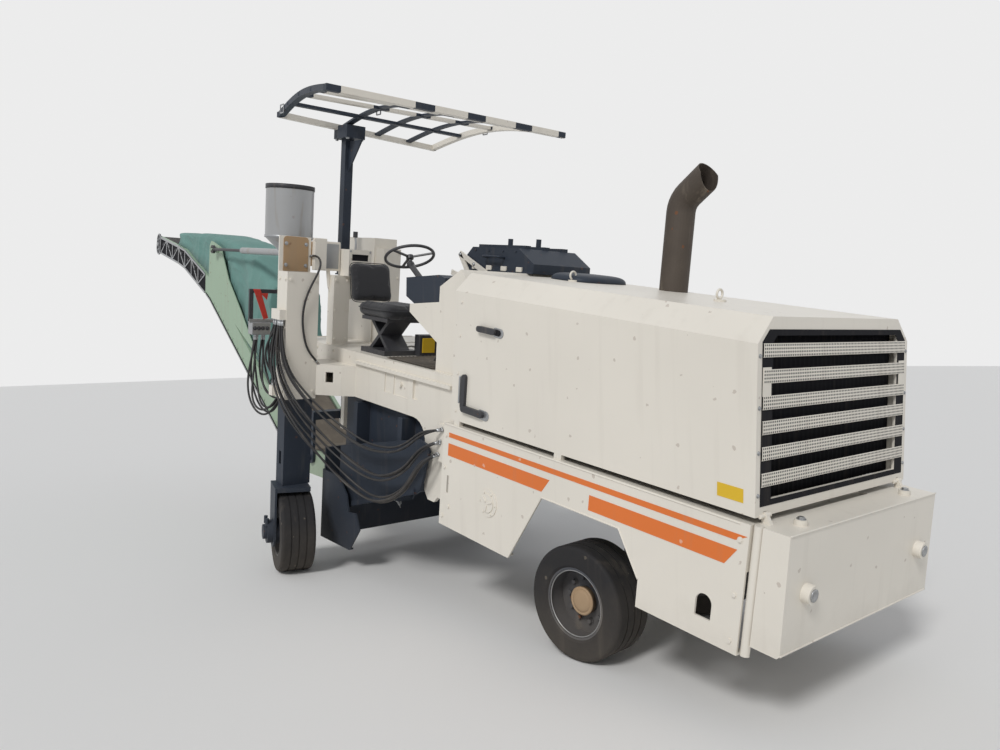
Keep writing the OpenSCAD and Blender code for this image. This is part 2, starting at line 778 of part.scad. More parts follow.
// Sliding side plate beside the drum
module side_plate() {
    side_slab(guide_y, guide_y + plate_t) polygon([
        [-2800, 300], [-1640, 600], [-1540, 585], [-1500, 540], [-1585, 230], [-1640, 190],
        [-2660, -200], [-2740, -180], [-2800, -120]
    ]);
    side_slab(guide_y + plate_t, guide_y + plate_t + 14) polygon([
        [-2780, -140], [-2660, -196], [-1640, 194], [-1650, 230], [-2660, -150], [-2770, -100]
    ]);
}
module side_plate_left() { color(slate) side_plate(); }
module side_plate_right() { color(slate) mirror([0, 1, 0]) side_plate(); }

// Scraper behind the drum: a blade with a window to the conveyor, and end wings
scraper_x = -2970 - slip;
wing_y = 745;
module scraper() {
    color(slate) {
        difference() {
            block([scraper_x - 20, -wing_y, -540], [scraper_x, wing_y, 250]);
            block([scraper_x - 21, -boom_y - 20, -260], [scraper_x + 1, boom_y + 20, 120]);
        }
        for (y = [-620, -440, 416, 596])
            block([scraper_x - 50, y, -520], [scraper_x - 20, y + 24, 230]);
        both_sides() {
            side_slab(wing_y, wing_y + 14) polygon([
                [scraper_x - 20, -540], [-2480, -500], [-2330, -290], [-2400, -170], [-2520, -190],
                [-2560, -60], [-2700, 60], [scraper_x - 20, 60]
            ]);
            side_slab(wing_y - 26, wing_y) polygon([
                [scraper_x, -528], [scraper_x, -540], [-2480, -500], [-2480, -488]
            ]);
        }
    }
}

// Rear mast: the tail of the platform with the lugs that hold the slew pin
module rear_mast() {
    lug_x = -slew_x;
    color(cream) {
        block([-platform_rear - 60, -120, 180], [-platform_rear, 120, 2000]);
        for (y = [-300, 260])
            block([-platform_rear - 60, y, 700], [-platform_rear, y + 40, platform_top]);
        block([-platform_rear - 60, -300, 900], [-platform_rear, 300, 960]);
        for (z = [180, 1050, 1940])
            difference() {
                union() {
                    block([lug_x, -70, z], [-platform_rear - 60, 70, z + 60]);
                    translate([lug_x, 0, z]) cylinder(r = 70, h = 60);
                }
                translate([lug_x, 0, z - 1]) cylinder(r = pin_r + fit, h = 62);
            }
    }
    color(steel) translate([lug_x, 0, 160]) difference() {
        cylinder(r = pin_r, h = 1900);
        translate([0, 0, 1880]) cylinder(r = 8, h = 30);
    }
}

// Slewing yoke on the mast's pin: arms down to the lift hinge, and a cross bar for the stays
arm_in = boom_y + 6;
arm_t = 26;
stay_y = boom_y + 65;
stay_foot = [-slew_x - 110, 1870];
stay_eye = [-6780, 1850];
hinge_d = 60;
module conveyor_yoke() {
    color(slate) {
        difference() {
            union() {
                for (z = [[240, 1050], [1110, 1940]])
                    translate([-slew_x, 0, z[0] + slip]) cylinder(r = pin_r + 28, h = z[1] - z[0] - 2 * slip);
                block([-slew_x - 45, -arm_in - arm_t, 262], [-slew_x + 45, arm_in + arm_t, 340]);
                side_slab(-30, 30) polygon([
                    [-slew_x, 1700], [-slew_x, 1920], [stay_foot[0] - 20, stay_foot[1] + 40],
                    [stay_foot[0] - 20, stay_foot[1] - 60]
                ]);
            }
            translate([-slew_x, 0, 200]) cylinder(r = pin_r + fit, h = 1800);
        }
        translate([stay_foot[0], -stay_y - 30, stay_foot[1]]) rotate([-90, 0, 0])
            cylinder(d = 44, h = 2 * (stay_y + 30));
        both_sides() {
            side_slab(arm_in, arm_in + arm_t) polygon(concat(
                [[-slew_x + 45, 262], [-slew_x - 45, 262]],
                arc([-slew_x, lift_z], 60, 180, 360, 8)
            ));
            translate([-slew_x, boom_y - boom_wall - 20, lift_z]) rotate([-90, 0, 0])
                cylinder(d = hinge_d, h = arm_in + arm_t + 20 + boom_wall + 20 - boom_y);
        }
    }
}

// Points of the boom's centre line, moved sideways by d with mitred bends
function unit(v) = v / norm(v);
function left_of(v) = [-v[1], v[0]];
function side_dir(p, i) =
    let (
        n = len(p),
        a = i > 0 ? left_of(unit(p[i] - p[i - 1])) : left_of(unit(p[1] - p[0])),
        b = i < n - 1 ? left_of(unit(p[i + 1] - p[i])) : a
    )
    (a + b) / (1 + a * b);
function moved(p, d) = [for (i = [0:len(p) - 1]) p[i] + d * side_dir(p, i)];
function reversed(p) = [for (i = [len(p) - 1:-1:0]) p[i]];
function band(p, a, b) = concat(moved(p, a), reversed(moved(p, b)));
// A closed loop round both pulleys, at the distance r from the centre line
function loop_outline(p, r) =
    let (
        n = len(p),
        v0 = p[1] - p[0],
        v1 = p[n - 1] - p[n - 2],
        a0 = atan2(v0[1], v0[0]),
        a1 = atan2(v1[1], v1[0])
    )
    concat(
        arc(p[0], r, a0 + 270, a0 + 90, 30),
        [for (i = [1:n - 2]) p[i] + r * side_dir(p, i)],
        arc(p[n - 1], r, a1 + 90, a1 - 90, 30),
        [for (i = [n - 2:-1:1]) p[i] - r * side_dir(p, i)]
    );

// Conveyor boom: two bent channels, cross tubes and the tall lug plates for the stays
module boom() {
    half = boom_depth / 2;
    color(pale_green) {
        both_sides() {
            difference() {
                union() {
                    side_slab(boom_y - boom_wall, boom_y) polygon(band(boom_pts, -half, half));
                    side_slab(boom_y - 40, boom_y - boom_wall) {
                        polygon(band(boom_pts, -half, -half + 7));
                        polygon(band(boom_pts, half - 7, half));
                    }
                    side_slab(boom_y - boom_wall, boom_y) polygon([
                        [-7120, 1500], [-7090, 1900], [-7040, 1950], [-6980, 1945], [-6700, 1880],
                        [-6420, 1500], [-6000, 1150], [-5500, 700], [-6900, 1300]
                    ]);
                }
                translate([-slew_x, 0, lift_z]) rotate([-90, 0, 0])
                    cylinder(d = hinge_d + 2 * fit, h = boom_y + 10);
                for (i = [0, 4])
                    translate([boom_pts[i][0], 0, boom_pts[i][1]]) rotate([-90, 0, 0])
                        cylinder(d = 60 + 2 * fit, h = boom_y + 10);
                translate([-7035, boom_y + 1, 1870]) rotate([90, 0, 0]) cylinder(d = 44, h = boom_wall + 2);
            }
            translate([stay_eye[0], boom_y - boom_wall, stay_eye[1]]) rotate([-90, 0, 0])
                cylinder(d = 32, h = stay_y + 24 + boom_wall - boom_y);
            translate([stay_eye[0], boom_y, stay_eye[1]]) rotate([-90, 0, 0]) cylinder(d = 84, h = 26);
        }
        for (i = [0:3], t = i == 1 ? [0.2, 0.4, 0.6, 0.8] : [0.5])
            let (c = boom_pts[i] + (boom_pts[i + 1] - boom_pts[i]) * t)
                translate([c[0], -boom_y + boom_wall, c[1]]) rotate([-90, 0, 0])
                    cylinder(d = 76, h = 2 * (boom_y - boom_wall));
    }
}

// Endless belt round the two pulleys
module belt() {
    color(dark) side_slab(-boom_y + 60, boom_y - 60) difference() {
        polygon(loop_outline(boom_pts, pulley_r + fit + belt_t));
        polygon(loop_outline(boom_pts, pulley_r + fit));
    }
}

// One pulley of the belt on its shaft
module pulley(p) {
    color(steel) translate([p[0], 0, p[1]]) rotate([-90, 0, 0]) {
        translate([0, 0, -boom_y + 50]) cylinder(r = pulley_r, h = 2 * (boom_y - 50));
        translate([0, 0, -boom_y - 20]) cylinder(d = 60, h = 2 * (boom_y + 20));
    }
}
module head_pulley() { pulley(boom_pts[4]); }
module tail_pulley() { pulley(boom_pts[0]); }

// Fabric cover over the bend of the boom
cover_rear = -boom_pts[3][0] + 360;
cover_front = -boom_pts[1][0] + 830;
cover_t = 11;
cover_top = [
    [-cover_rear, 2075], [-7260, 2070], [-6580, 2000], [-6340, 1920], [-5810, 1830], [-cover_front - 100, 1520]
];
function boom_top_z(x) = 
    let (
        q = moved(boom_pts, -boom_depth / 2),
        i = x > q[1][0] ? 0 : x > q[2][0] ? 1 : x > q[3][0] ? 2 : 3
    )
    q[i][1] + (x - q[i][0]) * (q[i + 1][1] - q[i][1]) / (q[i + 1][0] - q[i][0]);
module belt_cover() {
    chord = moved(boom_pts, -boom_depth / 2);
    foot = [for (x = [-cover_front, chord[2][0], chord[3][0], -cover_rear]) [x, boom_top_z(x) + fit]];
    last = len(cover_top) - 1;
    color(teal) difference() {
        side_slab(-boom_y + 14, boom_y - 14) polygon(concat(cover_top, foot));
        side_slab(-boom_y + 24, boom_y - 24) polygon(concat(
            [for (i = [0:last]) cover_top[i] - [i == 0 ? cover_t : 5, cover_t]],
            [for (i = [0:3]) foot[i] + [i == 0 ? -10 : i == 3 ? -10 : 0, -20]]
        ));
    }
}

// Stays from the yoke to the boom: a tube with a gland, and a rod with its eye
stay_v = unit(stay_eye - stay_foot);
stay_a = atan2(stay_v[1], -stay_v[0]);
module along_stay(y) {
    translate([stay_foot[0], y, stay_foot[1]]) rotate([0, -90 + stay_a, 0]) children();
}
tube_l = 1690;
rod_d = 34;
module stay_tube() {
    color(slate) for (y = [-stay_y, stay_y]) difference() {
        union() {
            along_stay(y) {
                translate([0, 0, 38]) cylinder(d = 70, h = tube_l - 38);
                rotate([90, 0, 0]) translate([0, 0, -18]) cylinder(d = 90, h = 36);
            }
        }
        translate([stay_foot[0], y - 20, stay_foot[1]]) rotate([-90, 0, 0]) cylinder(d = 44 + 2 * fit, h = 40);
        along_stay(y) {
            translate([0, 0, 80]) cylinder(d = 50, h = tube_l - 120);
            translate([0, 0, 80]) cylinder(d = rod_d + 2 * fit, h = tube_l);
        }
    }
}
module stay_rod() {
    l = norm(stay_eye - stay_foot);
    color(steel) for (y = [-stay_y, stay_y]) difference() {
        along_stay(y) {
            translate([0, 0, 700]) cylinder(d = rod_d, h = l - 700 - 40);
            translate([0, 0, 700]) cylinder(d = 49.4, h = 40);
            translate([0, 0, l]) rotate([90, 0, 0]) translate([0, 0, -16]) cylinder(d = 100, h = 32);
        }
        translate([stay_eye[0], y - 20, stay_eye[1]]) rotate([-90, 0, 0]) cylinder(d = 60, h = 40);
    }
}

// Hood outline: sloping top with chamfered edges and a front that leans back
module hood_form(inset) {
    y = hood_y - inset;
    intersection() {
        side_slab(-y, y) polygon([
            [-hood_rear + inset, hood_hinge_z - (inset > 0 ? 5 : 0)],
            [hood_front - inset, hood_hinge_z - (inset > 0 ? 5 : 0)],
            [hood_front - 94 - inset, hood_top_front - inset],
            [-hood_rear - 35 + inset, hood_top_rear - inset]
        ]);
        translate([-hood_rear - 35, 0, hood_top_rear]) rotate([0, hood_slope, 0]) translate([-200, 0, 0])
            rotate([90, 0, 90]) linear_extrude(3000) polygon([
                [-y, -1400], [y, -1400], [y, -hood_chamfer], [y - hood_chamfer, -inset],
                [-y + hood_chamfer, -inset], [-y, -hood_chamfer]
            ]);
    }
}

// Hood: one hollow shell with a grille opening, hinged along its front bottom edge
grille_low = 905;
grille_high = 1640;
grille_y = 610;
module hood() {
    color(cream) {
        difference() {
            hood_form(0);
            hood_form(hood_wall);
            block([900, -grille_y, grille_low], [hood_front + 20, grille_y, grille_high]);
            block([-hood_rear - 60, -560, hood_hinge_z - 1], [-hood_rear + 60, 560, 1640]);
            translate([-400, 450, 1600]) cylinder(d = exhaust_d + 2 * fit, h = 300);
            both_sides() translate([hood_front, hinge_y - 2, hood_hinge_z]) rotate([-90, 0, 0])
                cylinder(r = hinge_r + 3, h = hinge_t + 4);
        }
        both_sides() {
            translate([-991, hood_y, 930]) rotate([-90, 0, 0]) cylinder(d = 34, h = 24);
            block([-1090, hood_y, 930], [-1070, hood_y + 20, 1150]);
            block([-930, hood_y, 1450], [-790, hood_y + 26, 1478]);
        }
        for (x = [293, -900])
            translate([x, 0, hood_top_rear - (x + hood_rear + 35) * tan(hood_slope) - 4]) {
                cylinder(d = 70, h = 14);
                rotate([0, 0, 90]) translate([0, 6, 44]) rotate([90, 0, 0]) rotate_extrude()
                    translate([26, 0]) circle(d = 14);
            }
    }
    color(slate) both_sides() translate([hood_front, hinge_y - 30, hood_hinge_z]) rotate([-90, 0, 0])
        cylinder(d = hinge_pin_d, h = hinge_t + 60);
}

// Grille: a frame and leaning perforated slats with dark gaps between them
module grille() {
    lean = atan(94 / (hood_top_front - hood_hinge_z));
    pitch = (grille_high - grille_low - 40) / slat_count;
    face_x = hood_front - (grille_low - hood_hinge_z) * tan(lean);
    color(steel) translate([face_x, 0, grille_low]) rotate([0, -lean, 0]) {
        difference() {
            block([-hood_wall - 2, -grille_y + 1, 2], [-2, grille_y - 1, grille_high - grille_low - 2]);
            block([-hood_wall - 3, -grille_y + 25, 20], [0, grille_y - 25, grille_high - grille_low - 20]);
        }
        for (i = [0:slat_count - 1])
            translate([-hood_wall, 0, 24 + i * pitch]) rotate([0, 16, 0])
                block([-2, -grille_y + 25, 0], [2, grille_y - 25, slat_h]);
    }
}

// Exhaust stack: a hollow pipe with an elbow and a slanted mouth
module exhaust() {
    bend = 150;
    turn = 50;
    function pipe(low, end) = concat(
        [[0, 0, low]],
        [for (a = [0:10:turn]) [bend - bend * cos(a), 0, exhaust_z + bend * sin(a)]],
        [[bend - bend * cos(turn) + end * sin(turn), 0, exhaust_z + bend * sin(turn) + end * cos(turn)]]
    );
    color(steel) translate([-400, 450, 0]) {
        difference() {
            tube_along(pipe(1500, 190), exhaust_d, 32);
            tube_along(pipe(1499, 191), exhaust_d - 12, 32);
            translate([bend + 60, -200, exhaust_z + 160]) rotate([0, 80, 0]) translate([-400, 0, 0])
                cube([800, 400, 400]);
        }
    }
}

// Diesel engine block on the frame beams
module engine() {
    color(slate) {
        block([-700, -beam_in, sill_low], [260, beam_in, sill_low + 30]);
        block([-640, -230, sill_low + 30], [160, 230, 1280]);
        block([-600, -170, 1280], [120, 60, 1400]);
        block([-500, 60, 1280], [40, 200, 1340]);
        for (i = [0:3])
            translate([-520 + i * 180, -230, 1150]) rotate([90, 0, 0]) cylinder(d = 90, h = 60);
        translate([160, 0, 1100]) rotate([0, 90, 0]) cylinder(d = 180, h = 60);
        translate([220, 0, 1100]) rotate([0, 90, 0]) cylinder(d = 300, h = 24);
    }
}

// Radiator with its fan ring, behind the grille
module radiator() {
    color(dark) {
        difference() {
            block([620, -560, skirt_top], [760, 560, 1540]);
            for (i = [0:23])
                block([740, -530 + i * 44, 850], [761, -506 + i * 44, 1500]);
        }
        translate([600, 0, 1160]) rotate([0, 90, 0]) difference() {
            cylinder(d = 640, h = 20);
            translate([0, 0, -1]) cylinder(d = 600, h = 22);
        }
    }
}

// Smooth curve through hand-chosen points, n steps between each two of them
function curve(p, n) = [
    for (i = [0:len(p) - 2], k = [0:n - 1])
        let (
            t = k / n,
            a = p[max(i - 1, 0)],
            b = p[i],
            c = p[i + 1],
            d = p[min(i + 2, len(p) - 1)]
        )
        0.5 * (2 * b + (c - a) * t + (2 * a - 5 * b + 4 * c - d) * t * t + (3 * b - a - 3 * c + d) * t * t * t),
    p[len(p) - 1]
];

// Round tube with 8 sides swept along a path
module tube_along(path, d, sides = 8) {
    n = len(path);
    rings = [
        for (i = [0:n - 1])
            let (
                t = unit(path[min(i + 1, n - 1)] - path[max(i - 1, 0)]),
                u = unit(cross(t, [0.5, 0.9, 0])),
                v = cross(t, u)
            )
            for (k = [0:sides - 1]) path[i] + d / 2 * (u * cos(360 * k / sides) + v * sin(360 * k / sides))
    ];
    walls = [
        for (i = [0:n - 2], k = [0:sides - 1])
            let (a = i * sides + k, b = i * sides + (k + 1) % sides)
            each [[a, b + sides, b], [a, a + sides, b + sides]]
    ];
    polyhedron(
        points = rings,
        faces = concat(
            [[for (k = [0:sides - 1]) k]],
            walls,
            [[for (k = [sides - 1:-1:0]) (n - 1) * sides + k]]
        )
    );
}

// Hydraulic hoses from the manifold on the right column across the drum to the platform
hose_y = leg_y + column_d / 2 + 27;
hose_high_path = [
    [-2890, -hose_y, hose_top_z], [-2890, -hose_y, 1315], [-2890, -hose_y, 1290], [-2860, -hose_y - 8, 1140],
    [-2790, -hose_y + 20, 940], [-2640, -1090, 740], [-2440, -950, 560], [-2150, -840, 450],
    [-1800, -800, 490], [-1540, -805, 625], [-1400, -800, 715],
    [-1345, -775, 730], [-1345, -735, 730], [-1345, -hose_gland_y, 730]
];
hose_middle_path = [
    [-2930, -hose_y, hose_top_z], [-2930, -hose_y, 1315], [-2930, -hose_y, 1290], [-2920, -hose_y - 22, 1120],
    [-2850, -hose_y - 12, 890], [-2680, -1150, 660], [-2460, -990, 420], [-2200, -870, 270],
    [-1900, -830, 260], [-1620, -810, 400], [-1440, -805, 590],
    [-1365, -775, 640], [-1365, -735, 640], [-1365, -hose_gland_y, 640]
];
hose_low_path = [
    [-2970, -hose_y, hose_top_z], [-2970, -hose_y, 1315], [-2970, -hose_y, 1280], [-2980, -hose_y - 30, 1080],
    [-2890, -hose_y - 38, 830], [-2700, -1200, 590], [-2470, -1020, 300], [-2250, -890, 120],
    [-1950, -830, 70], [-1650, -810, 220], [-1460, -805, 460],
    [-1380, -775, 550], [-1380, -735, 550], [-1380, -hose_gland_y, 550]
];
hose_drop_path = [
    [-3010, -hose_y, hose_top_z], [-3010, -hose_y, 1315], [-3010, -hose_y, 1280], [-3048, -hose_y - 36, 1120],
    [-3048, -hose_y - 36, 1000], [-3020, -hose_y - 10, 905], [-3010, -hose_y, 860],
    [-3010, -hose_y, 830], [-3010, -hose_y, hose_clip_z]
];
module hose_high() { color(dark) tube_along(curve(hose_high_path, 2), hose_d); }
module hose_middle() { color(dark) tube_along(curve(hose_middle_path, 2), hose_d); }
module hose_low() { color(dark) tube_along(curve(hose_low_path, 2), hose_d); }
module hose_drop() { color(dark) tube_along(curve(hose_drop_path, 3), hose_d); }

placed() main_frame();
placed() skirt_right();
placed() skirt_left();
placed() counterweight();
placed() front_axle();
placed() engine();
placed() radiator();
placed() platform();
placed() cowl();
placed() hydraulic_box();
placed() console();
placed() rear_cabinet();
placed() seat_stand();
placed() seat();
placed() steering_column();
placed() steering_wheel();
placed() canopy_mast();
placed() canopy_frame();
placed() round_tank();
placed() column_right();
placed() column_left();
placed() arm_right();
placed() arm_left();
placed() drum_housing();
placed() rear_mast();
placed() hood();
placed() grille();
placed() exhaust();
placed() knuckle_right();
placed() knuckle_left();
placed() rim_front_right();
placed() tyre_front_right();
placed() rim_front_left();
placed() tyre_front_left();
placed() leg_right();
placed() leg_left();
placed() fork_right();
placed() fork_left();
placed() rim_rear_right();
placed() tyre_rear_right();
placed() rim_rear_left();
placed() tyre_rear_left();
placed() drum();
placed() picks_right();
placed() picks_left();
placed() side_plate_right();
placed() side_plate_left();
placed() scraper();
placed() conveyor_yoke();
placed() boom();
placed() belt();
placed() belt_cover();
placed() head_pulley();
placed() tail_pulley();
placed() stay_tube();
placed() stay_rod();
placed() hose_high();
placed() hose_middle();
placed() hose_low();
placed() hose_drop();
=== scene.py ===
"""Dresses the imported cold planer: camera, light, finishes, cords, fabric and painted trim."""

import logging
import math
from dataclasses import dataclass
from enum import Enum

import bmesh
import bpy
import numpy as np
from mathutils import Matrix


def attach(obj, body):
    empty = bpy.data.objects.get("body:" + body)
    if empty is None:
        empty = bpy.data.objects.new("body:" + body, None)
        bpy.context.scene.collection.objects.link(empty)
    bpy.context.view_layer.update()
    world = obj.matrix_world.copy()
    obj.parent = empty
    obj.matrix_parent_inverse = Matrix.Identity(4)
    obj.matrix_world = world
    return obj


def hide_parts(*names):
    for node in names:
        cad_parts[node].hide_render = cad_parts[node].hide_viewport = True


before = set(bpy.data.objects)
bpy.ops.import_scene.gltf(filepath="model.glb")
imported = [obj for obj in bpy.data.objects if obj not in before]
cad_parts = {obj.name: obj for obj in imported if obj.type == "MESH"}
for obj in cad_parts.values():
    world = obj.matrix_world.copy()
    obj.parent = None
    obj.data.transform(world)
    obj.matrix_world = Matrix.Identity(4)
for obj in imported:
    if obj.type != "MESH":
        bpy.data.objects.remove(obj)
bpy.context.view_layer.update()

LOG = logging.getLogger("planer")
Array = np.ndarray

BODY_PITCH = math.radians(7.9)
ORIGIN = np.array([3.807262, 0.015529, 0.332728])
MM = 0.001
SKIRT_HALF = 0.745
HOOD_HALF = 0.731


class Side(Enum):
    """The machine's two sides, as the sign of y."""

    RIGHT = -1
    LEFT = 1

    @property
    def label(self) -> str:
        """The side in a piece's name."""
        return self.name.lower()

    def span(self, inner: float, outer: float) -> list[float]:
        """Two distances from the middle as y on this side, the lower one first."""
        return sorted((self.value * inner, self.value * outer))


class Axis(Enum):
    """Directions of the body frame, by their place in a point."""

    X = 0
    Y = 1


class Slot(Enum):
    """Material slots, as names that the finishes carry."""

    CREAM = "cream_paint"
    SLATE = "slate_paint"
    GREEN = "green_paint"
    TAN = "tan_paint"
    STEEL = "bare_steel"
    IRON = "cast_iron"
    TYRE = "tyre"
    RUBBER = "black_rubber"
    PLASTIC = "black_plastic"
    SEAT = "seat_cover"
    FABRIC = "cover_fabric"


class Tone(Enum):
    """Base colours of the machine's paints and materials, as linear values."""

    CREAM = (0.83, 0.78, 0.69)
    ORANGE = (0.80, 0.19, 0.03)
    SLATE = (0.034, 0.043, 0.060)
    GREEN = (0.35, 0.47, 0.34)
    TEAL = (0.135, 0.27, 0.24)
    TAN = (0.44, 0.29, 0.16)
    STEEL = (0.42, 0.43, 0.44)
    SOOT = (0.07, 0.055, 0.045)
    RUBBER = (0.022, 0.021, 0.022)
    CORE = (0.05, 0.05, 0.055)
    CLOTH = (0.018, 0.018, 0.021)
    YELLOW = (0.78, 0.50, 0.02)
    RED = (0.55, 0.045, 0.03)
    DUST = (0.30, 0.25, 0.19)
    RUST = (0.17, 0.07, 0.03)
    FLOOR = (0.80, 0.79, 0.77)


def from_body(points: Array) -> Array:
    """Carries points from the pitched body frame into the row frame.

    Args:
        points: positions in metres, x forward, y left and z up from the front wheel centre.

    Returns:
        The same positions in the row frame: turned nose down about y, then moved to the wheel centre.
    """
    p = np.asarray(points, dtype=float)
    c, s = math.cos(BODY_PITCH), math.sin(BODY_PITCH)
    x = p[..., 0] * c + p[..., 2] * s
    z = -p[..., 0] * s + p[..., 2] * c
    return np.stack([x, p[..., 1], z], axis=-1) + ORIGIN


def grid_faces(rows: int, columns: int, wrap_rows: bool = False, wrap_columns: bool = False) -> list:
    """Quads of a grid of points, row by row.

    Args:
        rows: number of rows.
        columns: number of points in a row.
        wrap_rows: whether the last row joins the first.
        wrap_columns: whether each row closes on itself.

    Returns:
        Four indices per face.
    """
    i = np.arange(rows if wrap_rows else rows - 1)
    j = np.arange(columns if wrap_columns else columns - 1)
    a, b = np.meshgrid(i, j, indexing="ij")
    a2, b2 = (a + 1) % rows, (b + 1) % columns
    quads = np.stack([a * columns + b, a * columns + b2, a2 * columns + b2, a2 * columns + b], -1)
    return quads.reshape(-1, 4).tolist()


def capped_faces(rows: int, columns: int) -> list:
    """Faces of a grid whose rows are rings, with the first and the last ring filled."""
    last = [(rows - 1) * columns + k for k in range(columns)]
    return grid_faces(rows, columns, wrap_columns=True) + [list(range(columns - 1, -1, -1)), last]


def points_of(x: Array, y: Array, z: Array) -> Array:
    """Points from three coordinates of any shapes that broadcast."""
    return np.stack(np.broadcast_arrays(x, y, z), axis=-1)


def unit(vectors: Array) -> Array:
    """Vectors brought to length 1."""
    vectors = np.asarray(vectors, dtype=float)
    return vectors / np.linalg.norm(vectors, axis=-1, keepdims=True)


def turn(count: int) -> Array:
    """Angles that share a full turn evenly."""
    return np.linspace(0, 2 * math.pi, count, endpoint=False)


def steps_along(path: Array) -> Array:
    """Distance of each point of a path from its start, along it."""
    return np.concatenate([[0], np.cumsum(np.linalg.norm(np.diff(path, axis=0), axis=1))])


def evenly(path: Array, count: int) -> Array:
    """Moves along a path in even steps.

    Args:
        path: the path's points.
        count: how many points come back.

    Returns:
        Points that each lie on a straight stretch between two of the path's, at even distances along it.
    """
    step = steps_along(path)
    even = np.linspace(0, step[-1], count)
    return np.stack([np.interp(even, step, path[:, k]) for k in range(3)], axis=-1)


def rings_about(path: Array, way: Array, lean: tuple, radius: Array | float, sides: int) -> Array:
    """Rings of points about a path.

    Args:
        path: the rings' middles.
        way: the direction that each ring is square to.
        lean: any direction that isn't along the path.
        radius: each ring's radius, in an array that broadcasts to rings by 1 by 1.
        sides: how many points a ring has.

    Returns:
        An array of rings by sides by three: the middle plus the radius times the cosine and sine of the
        angle along two directions square to the way.
    """
    u = unit(np.cross(way, np.array(lean)))
    v = np.cross(way, u)
    angle = turn(sides)[None, :, None]
    return path[:, None, :] + radius * (np.cos(angle) * u[..., None, :] + np.sin(angle) * v[..., None, :])


def mesh_object(
    name: str, points: Array, faces: list, finish: "Finish", smooth: bool = True,
) -> bpy.types.Object:
    """Makes a mesh object at the origin.

    Args:
        name: the piece's name.
        points: its vertices in the row frame.
        faces: its faces, as lists of indices.
        finish: its finish.
        smooth: whether its faces are shaded smooth.

    Returns:
        The new object, linked to the scene.
    """
    mesh = bpy.data.meshes.new(name)
    mesh.from_pydata(np.asarray(points, dtype=float).reshape(-1, 3).tolist(), [], faces)
    mesh.materials.append(finish.build())
    mesh.polygons.foreach_set("use_smooth", [smooth] * len(mesh.polygons))
    mesh.update()
    piece = bpy.data.objects.new(name, mesh)
    bpy.context.collection.objects.link(piece)
    return piece


def with_outward_faces(piece: bpy.types.Object) -> bpy.types.Object:
    """Turns a closed shell's faces outwards, with its doubled points merged.

    Args:
        piece: the shell.

    Returns:
        The same piece.
    """
    work = bmesh.new()
    work.from_mesh(piece.data)
    bmesh.ops.remove_doubles(work, verts=work.verts, dist=1e-5)
    bmesh.ops.recalc_face_normals(work, faces=work.faces)
    work.to_mesh(piece.data)
    work.free()
    return piece


def thickened(piece: bpy.types.Object, thickness: float, offset: float = -1.0) -> bpy.types.Object:
    """Gives a sheet its thickness.

    Args:
        piece: the sheet.
        thickness: the thickness, in metres.
        offset: -1 to grow inwards, 0 to both sides.

    Returns:
        The same piece.
    """
    solid = piece.modifiers.new("thickness", "SOLIDIFY")
    solid.thickness, solid.offset = thickness, offset
    return piece


def seated(piece: bpy.types.Object, body: str, node: str | None = None) -> bpy.types.Object:
    """Lets a piece ride on a body.

    Args:
        piece: the piece.
        body: the CAD body that it rides on.
        node: the CAD node that it stands in for, if any.

    Returns:
        The same piece.
    """
    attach(piece, body)
    if node:
        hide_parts(node)
    LOG.info("added %s", piece.name)
    return piece


def smooth_path(points: Array, count: int) -> Array:
    """Samples a Catmull-Rom curve through points evenly in its parameter.

    Args:
        points: the points that the curve passes.
        count: how many samples it gets.

    Returns:
        The samples, one row each.
    """
    p = np.asarray(points, dtype=float)
    padded = np.vstack([2 * p[0] - p[1], p, 2 * p[-1] - p[-2]])
    u = np.linspace(0, len(p) - 1, count)
    i = np.minimum(u.astype(int), len(p) - 2)
    t = (u - i)[:, None]
    a, b, c, d = padded[i], padded[i + 1], padded[i + 2], padded[i + 3]
    return 0.5 * (2 * b + (c - a) * t + (2 * a - 5 * b + 4 * c - d) * t**2 + (3 * b - a - 3 * c + d) * t**3)


def tube(name: str, path: Array, radius: float, finish: "Finish", sides: int = 12) -> bpy.types.Object:
    """Makes a closed round tube along a path of the row frame and returns its object."""
    rings = rings_about(path, unit(np.gradient(path, axis=0)), (0.5, 0.9, 0.0), radius, sides)
    return with_outward_faces(mesh_object(name, rings, capped_faces(len(path), sides), finish))


Feed = bpy.types.NodeSocket | tuple | float


